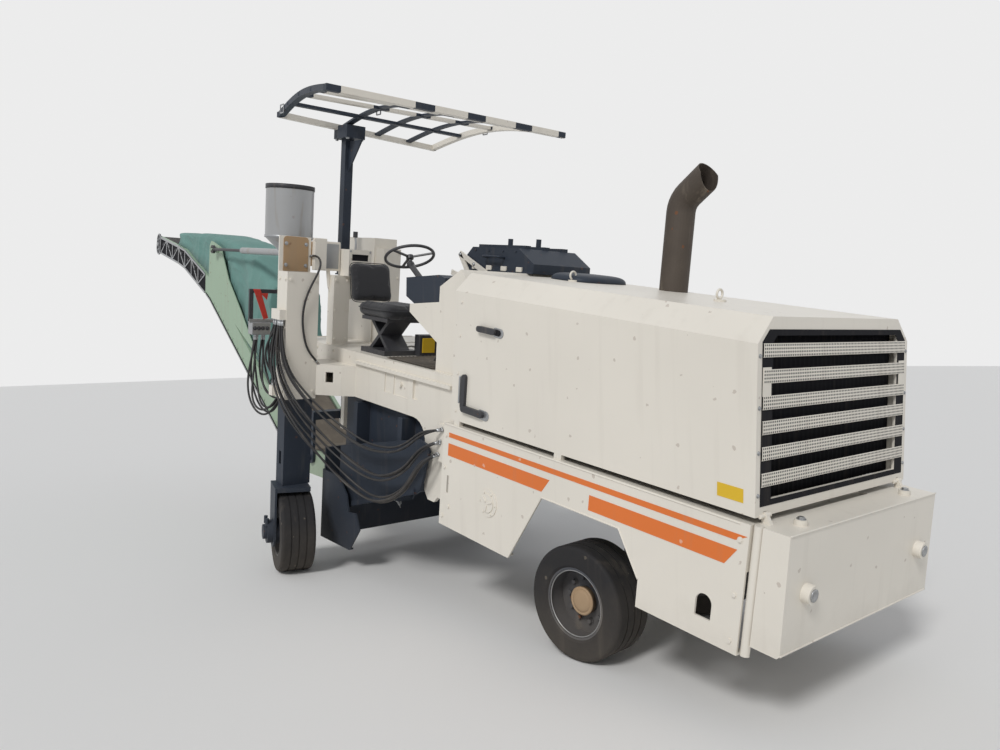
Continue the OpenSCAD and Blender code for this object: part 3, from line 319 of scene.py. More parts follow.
class Tree:
    """A shader node tree that grows node by node."""

    def __init__(self, tree: bpy.types.NodeTree) -> None:
        """Takes the tree to grow."""
        self.tree = tree

    def feed(self, node: bpy.types.Node, inputs: dict) -> bpy.types.Node:
        """Sets a node's sockets.

        Args:
            node: the node.
            inputs: for each socket's name or index, a constant or the socket that feeds it.

        Returns:
            The same node.
        """
        for key, value in inputs.items():
            if isinstance(value, bpy.types.NodeSocket):
                self.tree.links.new(value, node.inputs[key])
            else:
                node.inputs[key].default_value = value
        return node

    def add(self, kind: str, inputs: dict | None = None, **settings: str | bool) -> bpy.types.Node:
        """Adds a node.

        Args:
            kind: its type, without the leading ShaderNode.
            inputs: what its sockets get, as feed takes it.
            **settings: its other settings.

        Returns:
            The node.
        """
        node = self.tree.nodes.new(f"ShaderNode{kind}")
        for key, value in settings.items():
            setattr(node, key, value)
        return self.feed(node, inputs or {})

    def math(self, operation: str, *values: Feed) -> bpy.types.NodeSocket:
        """Result of a sum on up to three numbers or sockets."""
        return self.add("Math", dict(enumerate(values)), operation=operation).outputs[0]

    def vector(self, operation: str, *values: Feed) -> bpy.types.Node:
        """A sum on vectors."""
        return self.add("VectorMath", dict(enumerate(values)), operation=operation)

    def noise(self, place: Feed, scale: float, detail: float, **more: float) -> bpy.types.NodeSocket:
        """Noise from 0 to 1 at a place."""
        inputs = {"Vector": place, "Scale": scale, "Detail": detail, **more}
        return self.add("TexNoise", inputs).outputs["Fac"]

    def ramp(self, value: bpy.types.NodeSocket, start: str, low: float, high: float) -> bpy.types.NodeSocket:
        """A value stretched from ("From") or to ("To") the range between low and high."""
        inputs = {"Value": value, f"{start} Min": low, f"{start} Max": high}
        return self.add("MapRange", inputs).outputs["Result"]

    def mix(self, first: Feed, second: Feed, factor: bpy.types.NodeSocket) -> bpy.types.NodeSocket:
        """Mixes two colours.

        Args:
            first: the colour or socket at factor 0.
            second: the colour or socket at factor 1.
            factor: the socket that tells how much of the second comes in.

        Returns:
            The colour between them.
        """
        first, second = ((*end, 1.0) if isinstance(end, tuple) else end for end in (first, second))
        inputs = {"A": first, "B": second, "Factor": factor}
        return self.add("Mix", inputs, data_type="RGBA").outputs["Result"]

    def bump(self, height: bpy.types.NodeSocket, strength: float, distance: float) -> bpy.types.NodeSocket:
        """Normals of a relief."""
        inputs = {"Height": height, "Strength": strength, "Distance": distance}
        return self.add("Bump", inputs).outputs["Normal"]


def blank_material(name: str) -> tuple[bpy.types.Material, Tree, bpy.types.Node]:
    """Makes an empty material.

    Args:
        name: its name.

    Returns:
        The material, its tree and its shader.
    """
    material = bpy.data.materials.new(name)
    material.use_nodes = True
    return material, Tree(material.node_tree), material.node_tree.nodes["Principled BSDF"]


def weather() -> bpy.types.ShaderNodeTree:
    """Builds the node group of wear once.

    Returns:
        The group, whose masks from 0 to 1 are dust that thins out upwards, streaks that run down, worn
        chips and mottle.
    """
    if "weather" in bpy.data.node_groups:
        return bpy.data.node_groups["weather"]
    group = bpy.data.node_groups.new("weather", "ShaderNodeTree")
    for label, value in {"Dust height": 0.9, "Streak": 0.5, "Chips": 0.5}.items():
        knob = group.interface.new_socket(label, in_out="INPUT", socket_type="NodeSocketFloat")
        knob.default_value = value
    for label in ("Dust", "Streaks", "Chips", "Mottle"):
        group.interface.new_socket(label, in_out="OUTPUT", socket_type="NodeSocketFloat")
    start, end = group.nodes.new("NodeGroupInput").outputs, group.nodes.new("NodeGroupOutput")
    tree = Tree(group)
    place = tree.add("TexCoord").outputs["Object"]
    height = tree.add("SeparateXYZ", {0: place}).outputs["Z"]
    fall = tree.math("DIVIDE", height, start["Dust height"])
    dust = tree.math("SUBTRACT", tree.noise(place, 3.2, 8.0, Roughness=0.65), fall)
    drawn = tree.add("Mapping", {"Vector": place, "Scale": (14.0, 14.0, 0.9)}).outputs[0]
    run = tree.ramp(tree.noise(drawn, 1.0, 5.0), "From", 0.56, 0.80)
    flake = tree.add("TexVoronoi", {"Vector": place, "Scale": 9.0}).outputs["Distance"]
    worn = tree.math("MULTIPLY_ADD", tree.noise(place, 42.0, 4.0), 0.30, flake)
    tree.feed(end, {
        "Dust": tree.ramp(dust, "From", -0.35, 0.45),
        "Streaks": tree.math("MULTIPLY", run, start["Streak"]),
        "Chips": tree.math("MULTIPLY", tree.ramp(worn, "From", 0.245, 0.225), start["Chips"]),
        "Mottle": tree.noise(place, 1.3, 6.0),
    })
    return group


@dataclass(frozen=True)
class Paint:
    """Brushed or sprayed paint on plate, with dust, streaks and chips.

    Attributes:
        name: the material's name.
        tone: its colour.
        roughness: how matt it is, from 0 to 1.
        dust_height: height above the ground at which dust fades out, in metres.
        dust: how strongly dust colours it.
        streak: how strongly streaks colour it.
        chips: how strongly chips show.
        chip_tone: the colour under the paint.
        metallic: 1 for bare metal.
        bump: strength of the orange-peel relief.
        grain: scale of that relief.
        gloss: specular level.
        slot: the material slot meant for most pieces that have it; not used.
    """

    name: str
    tone: Tone
    roughness: float = 0.42
    dust_height: float = 0.9
    dust: float = 0.35
    streak: float = 0.35
    chips: float = 0.5
    chip_tone: Tone = Tone.RUST
    metallic: float = 0.0
    bump: float = 0.06
    grain: float = 180.0
    gloss: float = 0.5
    slot: Slot = Slot.CREAM

    def build(self) -> bpy.types.Material:
        """Builds the material once.

        Returns:
            The material: the colour, dirtied and chipped by the masks of wear, over a fine relief.
        """
        if self.name in bpy.data.materials:
            return bpy.data.materials[self.name]
        material, tree, shader = blank_material(self.name)
        group = tree.add("Group", node_tree=weather())
        tree.feed(group, {"Dust height": self.dust_height, "Streak": self.streak, "Chips": self.chips})
        masks = group.outputs
        dust = tree.math("MULTIPLY", masks["Dust"], self.dust)
        colour = tree.mix(self.tone.value, tuple(0.86 * v for v in self.tone.value), masks["Mottle"])
        colour = tree.mix(colour, Tone.DUST.value, masks["Streaks"])
        colour = tree.mix(colour, Tone.DUST.value, dust)
        peel = tree.noise(tree.add("TexCoord").outputs["Object"], self.grain, 3.0)
        tree.feed(shader, {
            "Base Color": tree.mix(colour, self.chip_tone.value, masks["Chips"]),
            "Metallic": self.metallic,
            "Specular IOR Level": self.gloss,
            "Roughness": tree.ramp(dust, "To", self.roughness, min(1.0, self.roughness + 0.3)),
            "Normal": tree.bump(peel, self.bump, 0.002),
        })
        return material


@dataclass(frozen=True)
class PerforatedSteel:
    """Painted sheet with rows of round holes as dark dots, laid out on the piece's own UV map in metres.

    Attributes:
        name: the material's name.
        along: distance between holes in a row.
        across: distance between rows.
        hole: a hole's radius as a share of those distances.
        blur: width of its soft edge, as such a share.
        dark: the colour in a hole.
    """

    name: str = "perforated_steel"
    along: float = 0.0153
    across: float = 0.0155
    hole: float = 0.27
    blur: float = 0.08
    dark: tuple[float, float, float] = (0.012, 0.012, 0.012)

    def build(self) -> bpy.types.Material:
        """Builds the material once.

        Returns:
            The material: paint, dark where a point is nearer than the hole's radius to its cell's middle.
        """
        if self.name in bpy.data.materials:
            return bpy.data.materials[self.name]
        material = Paint(self.name, Tone.CREAM, dust=0.1, chips=0.2).build()
        tree, shader = Tree(material.node_tree), material.node_tree.nodes["Principled BSDF"]
        place = tree.add("UVMap", uv_map="sheet").outputs["UV"]
        scaled = tree.vector("MULTIPLY", place, (1 / self.along, 1 / self.across, 0.0)).outputs[0]
        cell = tree.vector("FRACTION", scaled).outputs[0]
        from_middle = tree.vector("SUBTRACT", cell, (0.5, 0.5, 0.0)).outputs[0]
        reach = tree.vector("LENGTH", from_middle).outputs["Value"]
        ground = shader.inputs["Base Color"].links[0].from_socket
        edge = tree.ramp(reach, "From", self.hole, self.hole + self.blur)
        tree.feed(shader, {"Base Color": tree.mix(self.dark, ground, edge)})
        return material


@dataclass(frozen=True)
class Woven:
    """Woven or coated cloth with a fine crossed relief.

    Attributes:
        name: the material's name.
        tone: its colour.
        thread: distance between threads, in metres.
        roughness: how matt it is.
        sheen: strength of the sheen.
    """

    name: str
    tone: Tone
    thread: float = 0.004
    roughness: float = 0.85
    sheen: float = 0.25

    def build(self) -> bpy.types.Material:
        """Builds the material once.

        Returns:
            The material: a mottled colour over a relief that is the product of two crossed waves.
        """
        if self.name in bpy.data.materials:
            return bpy.data.materials[self.name]
        material, tree, shader = blank_material(self.name)
        place = tree.add("TexCoord").outputs["Object"]
        ends = (tuple(min(1.0, share * v) for v in self.tone.value) for share in (0.72, 1.28))
        ridges = {"Vector": place, "Scale": 0.314 / self.thread, "Distortion": 0.4}
        waves = (tree.add("TexWave", ridges, bands_direction=way).outputs["Fac"] for way in ("X", "Z"))
        tree.feed(shader, {
            "Roughness": self.roughness,
            "Sheen Weight": self.sheen,
            "Base Color": tree.mix(*ends, tree.noise(place, 2.4, 9.0)),
            "Normal": tree.bump(tree.math("MULTIPLY", *waves), 0.35, 0.001),
        })
        return material


@dataclass(frozen=True)
class Plain:
    """One even, matt colour.

    Attributes:
        name: the material's name.
        tone: its colour.
        roughness: how matt it is.
    """

    name: str
    tone: Tone
    roughness: float = 0.9

    def build(self) -> bpy.types.Material:
        """Builds the material.

        Returns:
            The material.
        """
        material, tree, shader = blank_material(self.name)
        tree.feed(shader, {"Roughness": self.roughness, "Base Color": (*self.tone.value, 1.0)})
        return material


Finish = Paint | PerforatedSteel | Woven | Plain

CREAM = Paint("cream_enamel", Tone.CREAM, 0.36, 0.62, 0.30, 0.10, 0.3)
ORANGE = Paint("orange_stripe", Tone.ORANGE, 0.4, dust=0.15, chips=0.35, chip_tone=Tone.CREAM)
# On canopy_frame this slate is painted shade of the frame's undersides; on the other parts it is their slate
# paint.
SLATE = Paint("slate_enamel", Tone.SLATE, 0.5, 0.9, 0.07, 0.12, 0.35, gloss=0.22, slot=Slot.SLATE)
GREEN = Paint("green_enamel", Tone.GREEN, 0.5, dust_height=2.0, chips=0.6, slot=Slot.GREEN)
TAN = Paint("tan_enamel", Tone.TAN, 0.55, dust_height=1.2, dust=0.3, chips=0.5, slot=Slot.TAN)
RIM = Paint("rim_paint", Tone.SLATE, 0.6, 0.9, 0.35, 0.5, 0.9, slot=Slot.SLATE)
STEEL = Paint(
    "worn_steel", Tone.STEEL, 0.38, dust=0.3, streak=0.5, chips=0.4, metallic=0.85, slot=Slot.STEEL,
)
SOOTY = Paint("sooty_steel", Tone.SOOT, 0.62, 5.0, 0.25, 0.7, 0.9, metallic=0.35, slot=Slot.STEEL)
TYRE = Paint(
    "solid_tyre", Tone.RUBBER, 0.74, 0.6, 0.16, 0.14, 0.3, Tone.DUST, 0.0, 0.6, 60.0, 0.3, Slot.TYRE,
)
RUBBER = Paint(
    "hose_rubber", Tone.RUBBER, 0.5, 1.2, 0.25, 0.2, 0.1, Tone.DUST, 0.0, 0.25, 90.0, slot=Slot.RUBBER,
)
BELT = Paint(
    "belt_rubber", Tone.RUBBER, 0.8, 4.0, 0.6, 0.5, 0.3, Tone.DUST, 0.0, 0.4, 70.0, slot=Slot.RUBBER,
)
PLASTIC = Paint("moulded_black", Tone.CORE, 0.4, 2.0, 0.12, 0.1, 0.0, slot=Slot.PLASTIC)
ENGINE = Paint("engine_paint", Tone.CORE, 0.55, 2.0, 0.3, 0.6, 0.5, slot=Slot.IRON)
RED = Paint("red_paint", Tone.RED, 0.42, 2.0, 0.12, 0.3, 0.5, slot=Slot.SLATE)
DARK = Paint("dark_fittings", Tone.CORE, 0.45, 1.2, 0.15, 0.3, 0.4, gloss=0.3, slot=Slot.PLASTIC)
BLACK = Paint("black_shadow", Tone.CLOTH, 0.8, 1.0, 0.05, 0.1, 0.0, gloss=0.1, slot=Slot.PLASTIC)
TANK = Paint("tank_steel", Tone.STEEL, 0.34, 6.0, 0.18, 0.9, 0.2, Tone.RUST, 0.7, 0.05, slot=Slot.STEEL)
PLATE = Paint("yellow_plate", Tone.YELLOW, 0.4, 1.0, 0.05, 0.1, 0.0)
COVER = Woven("cover_cloth", Tone.TEAL, thread=0.006, sheen=0.1)
CLOTH = Woven("seat_cloth", Tone.CLOTH)


@dataclass
class Studio:
    """Floor, lights, world and the camera at the photograph's angle.

    Attributes:
        lens: focal length in millimetres, for a 36 mm sensor.
        eye: the camera's place from the ground point under the front wheels, in metres.
        yaw: turn of the view from +Y towards -X, in degrees.
        dip: downward tilt of the view, in degrees.
        roll: turn about the view's axis, in degrees.
        reach: half of the floor's width.
        sun: strength of the sun.
        sun_soft: angle that the sun's disc fills, in degrees.
        sun_turn: the sun's turns about x, y and z, in degrees.
        sky: strength of the world on the machine.
    """

    lens: float = 28.16
    eye: tuple[float, float, float] = (3.190, -3.776, 1.768)
    yaw: float = 50.915
    dip: float = 1.6835
    roll: float = -1.1877
    reach: float = 60.0
    sun: float = 1.55
    sun_soft: float = 14.0
    sun_turn: tuple[float, float, float] = (48.0, 4.0, 22.0)
    sky: float = 0.47

    def camera(self) -> None:
        """Makes the camera: forward, right and up come from yaw, dip and roll, in that order."""
        y, p, r = (math.radians(v) for v in (self.yaw, self.dip, self.roll))
        forward = np.array([-math.sin(y) * math.cos(p), math.cos(y) * math.cos(p), -math.sin(p)])
        right = np.array([math.cos(y), math.sin(y), 0.0])
        up = np.cross(right, forward)
        right_r = math.cos(r) * right + math.sin(r) * up
        up_r = -math.sin(r) * right + math.cos(r) * up
        data = bpy.data.cameras.new("camera")
        data.lens, data.sensor_width, data.clip_end = self.lens, 36.0, 200.0
        eye = bpy.data.objects.new("camera", data)
        axes = Matrix([[right_r[i], up_r[i], -forward[i]] for i in range(3)]).to_4x4()
        ground = np.array([ORIGIN[0], ORIGIN[1], 0.0])
        eye.matrix_world = Matrix.Translation((ground + np.array(self.eye)).tolist()) @ axes
        bpy.context.collection.objects.link(eye)
        bpy.context.scene.camera = eye

    def floor(self) -> None:
        """Makes the pale floor as one wide square, a hair under the tyres."""
        corners = np.array([[-1, -1, 0], [1, -1, 0], [1, 1, 0], [-1, 1, 0]]) * self.reach
        corners[:, 2] = -0.001
        mesh_object("floor", corners, [[0, 1, 2, 3]], Plain("floor", Tone.FLOOR), smooth=False)

    def light(self) -> None:
        """Adds a soft sun and a pale world that is brighter to the eye than on the machine."""
        sun = bpy.data.lights.new("sun", "SUN")
        sun.energy, sun.angle = self.sun, math.radians(self.sun_soft)
        lamp = bpy.data.objects.new("sun", sun)
        lamp.rotation_euler = [math.radians(angle) for angle in self.sun_turn]
        bpy.context.collection.objects.link(lamp)
        world = bpy.data.worlds.new("world")
        bpy.context.scene.world = world
        world.use_nodes = True
        tree, nodes = Tree(world.node_tree), world.node_tree.nodes
        sky = tree.feed(nodes["Background"], {"Color": (0.92, 0.95, 1.0, 1.0), "Strength": self.sky})
        seen = tree.add("Background", {"Color": (0.84, 0.84, 0.84, 1.0)})
        rays = tree.add("LightPath").outputs
        sharp = tree.math("MAXIMUM", rays["Is Camera Ray"], rays["Is Glossy Ray"])
        mix = tree.add("MixShader", {0: sharp, 1: sky.outputs[0], 2: seen.outputs[0]})
        tree.feed(nodes["World Output"], {"Surface": mix.outputs[0]})
        bpy.context.scene.view_settings.view_transform = "Standard"


def stadium(start: tuple, end: tuple, radius: float, steps: int = 8) -> Array:
    """Outline of two half circles joined by straight sides.

    Args:
        start: centre of the first half circle.
        end: centre of the second half circle.
        radius: their radius.
        steps: edges in each half circle.

    Returns:
        Points: each centre plus the radius times the cosine and sine of the angle.
    """
    a, b = np.asarray(start, dtype=float), np.asarray(end, dtype=float)
    half = np.linspace(-math.pi / 2, math.pi / 2, steps + 1) + math.atan2(*(b - a)[::-1])
    arc = radius * np.stack([np.cos(half), np.sin(half)], axis=-1)
    return np.vstack([b + arc, a - arc])


def box_outline(low: tuple, high: tuple) -> Array:
    """Corners of a rectangle between two opposite corners."""
    (a, b), (c, d) = low, high
    return np.array([[a, b], [c, b], [c, d], [a, d]])


def dress_piece(piece: bpy.types.Object, body: str, bevel: float = 0.0) -> bpy.types.Object:
    """Turns a new piece's faces outwards, rounds its edges and lets it ride on a body.

    Args:
        piece: the piece.
        body: the CAD body that it rides on.
        bevel: width of the rounding, or 0 for none.

    Returns:
        The same piece.
    """
    with_outward_faces(piece)
    if bevel > 0:
        edge = piece.modifiers.new("edges", "BEVEL")
        edge.width, edge.segments, edge.limit_method = bevel, 2, "ANGLE"
        edge.angle_limit = math.radians(35)
    return seated(piece, body)


def prism(
    name: str, outline: Array, axis: Axis, low: float, high: float, paint: Paint,
    body: str = "chassis", slot: Slot | None = None, bevel: float = 0.002,
) -> bpy.types.Object:
    """Adds a plate or block of one outline, carried straight along an axis of the body frame.

    Args:
        name: the piece's name.
        outline: the outline in the other two axes, in their usual order.
        axis: the axis.
        low: where the piece starts along that axis.
        high: where it ends.
        paint: its finish.
        body: the CAD body that it rides on.
        slot: the material slot meant for it, where not the finish's own; not used.
        bevel: width of its rounded edges.

    Returns:
        The piece.
    """
    flat = np.asarray(outline, dtype=float)
    points = np.stack([np.insert(flat, axis.value, level, axis=-1) for level in (low, high)])
    piece = mesh_object(name, from_body(points), capped_faces(2, len(flat)), paint, smooth=False)
    return dress_piece(piece, body, bevel)


def beams(
    name: str, runs: Array, wide: float, thick: float, facing: tuple, paint: Paint,
    body: str = "chassis", bevel: float = 0.0015,
) -> bpy.types.Object:
    """Adds straight flat bars as one piece.

    Args:
        name: the piece's name.
        runs: start and end of each bar in the body frame, as an array of bars by 2 by 3.
        wide: width of a bar, square to its length and to the facing.
        thick: thickness along the facing.
        facing: direction that the broad faces look in.
        paint: its finish.
        body: the CAD body that it rides on.
        bevel: width of the rounded edges.

    Returns:
        The piece. Each corner is an end plus or minus half the width and half the thickness.
    """
    runs, out = np.asarray(runs, dtype=float), unit(facing)
    side = unit(np.cross(unit(runs[:, 1] - runs[:, 0]), out))
    square = np.array([[-1, -1], [1, -1], [1, 1], [-1, 1]])
    offset = 0.5 * (wide * square[:, :1] * side[:, None] + thick * square[:, 1:] * out)
    points = runs[:, :, None, :] + offset[:, None, :, :]
    faces = [[8 * k + v for v in face] for k in range(len(runs)) for face in capped_faces(2, 4)]
    piece = mesh_object(name, from_body(points), faces, paint, smooth=False)
    return dress_piece(piece, body, bevel)


def polyline_runs(points: Array) -> Array:
    """Starts and ends of the stretches of a polyline."""
    points = np.asarray(points, dtype=float)
    return np.stack([points[:-1], points[1:]], axis=1)


def rod(name: str, points: list, radius: float, paint: Paint, body: str = "chassis") -> bpy.types.Object:
    """Adds a bent round bar through points of the body frame, with closed ends."""
    path = smooth_path(np.asarray(points, dtype=float), 10 * len(points))
    return dress_piece(tube(name, from_body(path), radius, paint), body)


def bolts(
    name: str, places: Array, axis: tuple, paint: Paint, body: str = "chassis",
    across: float = 0.024, high: float = 0.009,
) -> bpy.types.Object:
    """Adds hexagon bolt heads as one piece.

    Args:
        name: the piece's name.
        places: the middles of their undersides in the body frame.
        axis: direction that they stand out in.
        paint: their finish.
        body: the CAD body that they ride on.
        across: width over two opposite corners.
        high: height of a head.

    Returns:
        The piece.
    """
    up = (0, 0, 1) if abs(axis[2]) < 0.5 else (1, 0, 0)
    points, faces = hex_prisms(places, axis, up, across, high)
    return dress_piece(mesh_object(name, from_body(points), faces, paint, smooth=False), body)


@dataclass
class Bodywork:
    """Painted stripes and plates on the hood and skirts.

    Attributes:
        skirt_y: half of the width over the skirts.
        hood_y: half of the width of the hood.
    """

    skirt_y: float = SKIRT_HALF
    hood_y: float = HOOD_HALF

    @staticmethod
    def slab(name: str, outline: list, side: Side, y: float, paint: Paint, body: str) -> None:
        """Adds a thin flat piece on one side of the machine, at a distance from the middle."""
        prism(name, outline, Axis.Y, *side.span(y + 0.0002, y + 0.0015), paint, body, Slot.CREAM, 0.0)

    def stripes(self) -> None:
        """Adds the thin stripe and the two stretches of the thick stripe on each skirt."""
        slant = 0.03
        runs = {
            "stripe_thin": (-1.207, 1.064, 0.713, 0.744),
            "stripe_rear": (-1.207, -0.235, 0.587, 0.671),
            "stripe_front": (0.115, 1.020, 0.587, 0.671),
        }
        for side in Side:
            for name, (x0, x1, z0, z1) in runs.items():
                outline = [[x0, z0], [x1 - slant, z0], [x1 + slant, z1], [x0, z1]]
                self.slab(f"{name}_{side.label}", outline, side, self.skirt_y, ORANGE, "chassis")

    def plates(self) -> None:
        """Adds the blank yellow plate near the front of the hood."""
        outline = [[0.905, 0.885], [1.045, 0.885], [1.038, 0.948], [0.898, 0.948]]
        self.slab("side_plate_blank", outline, Side.RIGHT, self.hood_y, PLATE, "hood")


@dataclass(frozen=True)
class WheelPlace:
    """Where one wheel stands in the body frame, and which body it turns with.

    Attributes:
        body: the CAD body of the wheel.
        side: the side of the machine.
        pivot: the steering pivot in the body frame, in metres.
        steer: the steering angle at rest, in degrees.
        offset: the wheel's centre from the pivot, with y towards the outside before steering.
        outer: 1 where the dish opens towards the outside, -1 where it opens inwards.
    """

    body: str
    side: Side
    pivot: tuple[float, float, float]
    steer: float
    offset: tuple[float, float, float]
    outer: int

    def carry(self, points: Array) -> Array:
        """Carries points from the wheel's own frame to the row frame.

        Args:
            points: positions from the wheel's middle, with y out of its dish.

        Returns:
            The points, moved to the wheel's middle, turned by the steering angle about the pivot and carried
            over from the body frame.
        """
        p = np.asarray(points, dtype=float).copy()
        p[..., 1] *= self.outer
        p = p + np.array(self.offset)
        p[..., 1] *= self.side.value
        c, s = math.cos(math.radians(self.steer)), math.sin(math.radians(self.steer))
        turned = np.stack([p[..., 0] * c - p[..., 1] * s, p[..., 0] * s + p[..., 1] * c, p[..., 2]], axis=-1)
        return from_body(turned + np.array(self.pivot))


def wheel_places() -> list[WheelPlace]:
    """Lists where the wheels stand.

    Returns:
        The four wheels' places.
    """
    places = []
    for side in Side:
        front = (0.0, side.value * 0.390, 0.0)
        rear = (-2.950, side.value * 1.050, 0.0)
        places.append(WheelPlace(f"wheel_front_{side.label}", side, front, 4.0, (0.0, 0.175, 0.0), 1))
        places.append(WheelPlace(f"wheel_rear_{side.label}", side, rear, -15.0, (0.060, 0.0, -0.40027), -1))
    return places


def lathe(profile: list, count: int) -> Array:
    """Turns a profile of radius and height about the y axis.

    Args:
        profile: rows of radius and y.
        count: how many steps a turn has.

    Returns:
        A grid of profile points by steps: radius times the cosine and sine of the angle, and y.
    """
    r, y = (column[:, None] for column in np.asarray(profile, dtype=float).T)
    angle = turn(count)[None, :]
    return points_of(r * np.cos(angle), y, r * np.sin(angle))


def hex_prisms(places: Array, axis: Array, up: Array, across: float, high: float) -> tuple[Array, list]:
    """Hexagon heads with a chamfered top, standing on a round washer.

    Args:
        places: the middles of their undersides, one row each.
        axis: their common direction.
        up: any direction that isn't the axis.
        across: width over two opposite corners.
        high: height of a head.

    Returns:
        Points and faces of all heads together.
    """
    axis = unit(axis)
    u = unit(np.cross(axis, np.asarray(up, dtype=float)))
    v = np.cross(axis, u)
    angle = turn(12)
    hexed = angle[2 * (np.arange(12) // 2)]
    washer = (0.66, 0.0, angle), (0.66, 0.22, angle)
    rings = (*washer, (0.5, 0.22, hexed), (0.5, 0.85, hexed), (0.42, 1.0, hexed))
    one = np.vstack([
        (np.cos(way)[:, None] * u + np.sin(way)[:, None] * v) * radius * across + axis * level * high
        for radius, level, way in rings
    ])
    spots = np.atleast_2d(np.asarray(places, dtype=float))
    faces = capped_faces(len(rings), 12)
    joined = [[index + len(one) * copy for index in face] for copy in range(len(spots)) for face in faces]
    return (one[None, :, :] + spots[:, None, :]).reshape(-1, 3), joined


@dataclass
class WheelTrim:
    """Hub caps, wheel nuts and lock rings in the dishes of the wheels.

    Attributes:
        cap: radius of the tan hub cap.
        floor: y of the rim's disc from the wheel's middle.
        nut_circle: radius of the circle of wheel nuts.
        nuts: how many nuts a wheel has.
        lock: profile of the lock ring, as rows of radius and y.
    """

    cap: float = 0.0795
    floor: float = 0.012
    nut_circle: float = 0.125
    nuts: int = 10
    lock: tuple = ((0.193, 0.119), (0.190, 0.1235), (0.186, 0.1235), (0.183, 0.119), (0.188, 0.116))

    def cap_profile(self) -> list:
        """Profile of the cap: a drum with a lip, a shallow groove and a crowned face."""
        lip = (
            (0, 0.030), (0, 0.056), (0.003, 0.058), (0.003, 0.064), (-0.002, 0.068),
            (-0.010, 0.0685), (-0.012, 0.0665), (-0.015, 0.0665), (-0.017, 0.0695),
        )
        return [(self.cap + out, y) for out, y in lip] + [(0.045, 0.0715), (0.020, 0.0722), (0.0004, 0.0724)]

    def build(self) -> None:
        """Adds a cap, a ring of nuts and a lock ring to each wheel."""
        cap = lathe(self.cap_profile(), 64)
        angle = turn(self.nuts)
        spots = points_of(self.nut_circle * np.cos(angle), self.floor, self.nut_circle * np.sin(angle))
        nuts, nut_faces = hex_prisms(spots, (0, 1, 0), (0, 0, 1), 0.030, 0.022)
        loop = grid_faces(len(self.lock), 96, wrap_rows=True, wrap_columns=True)
        for place in wheel_places():
            for name, points, faces, paint in (
                ("cap", cap, capped_faces(len(cap), 64), TAN),
                ("nuts", nuts, nut_faces, RIM),
                ("lock_ring", lathe(self.lock, 96), loop, STEEL),
            ):
                smooth = name != "nuts"
                piece = mesh_object(f"{name}_{place.body}", place.carry(points), faces, paint, smooth)
                dress_piece(piece, place.body)


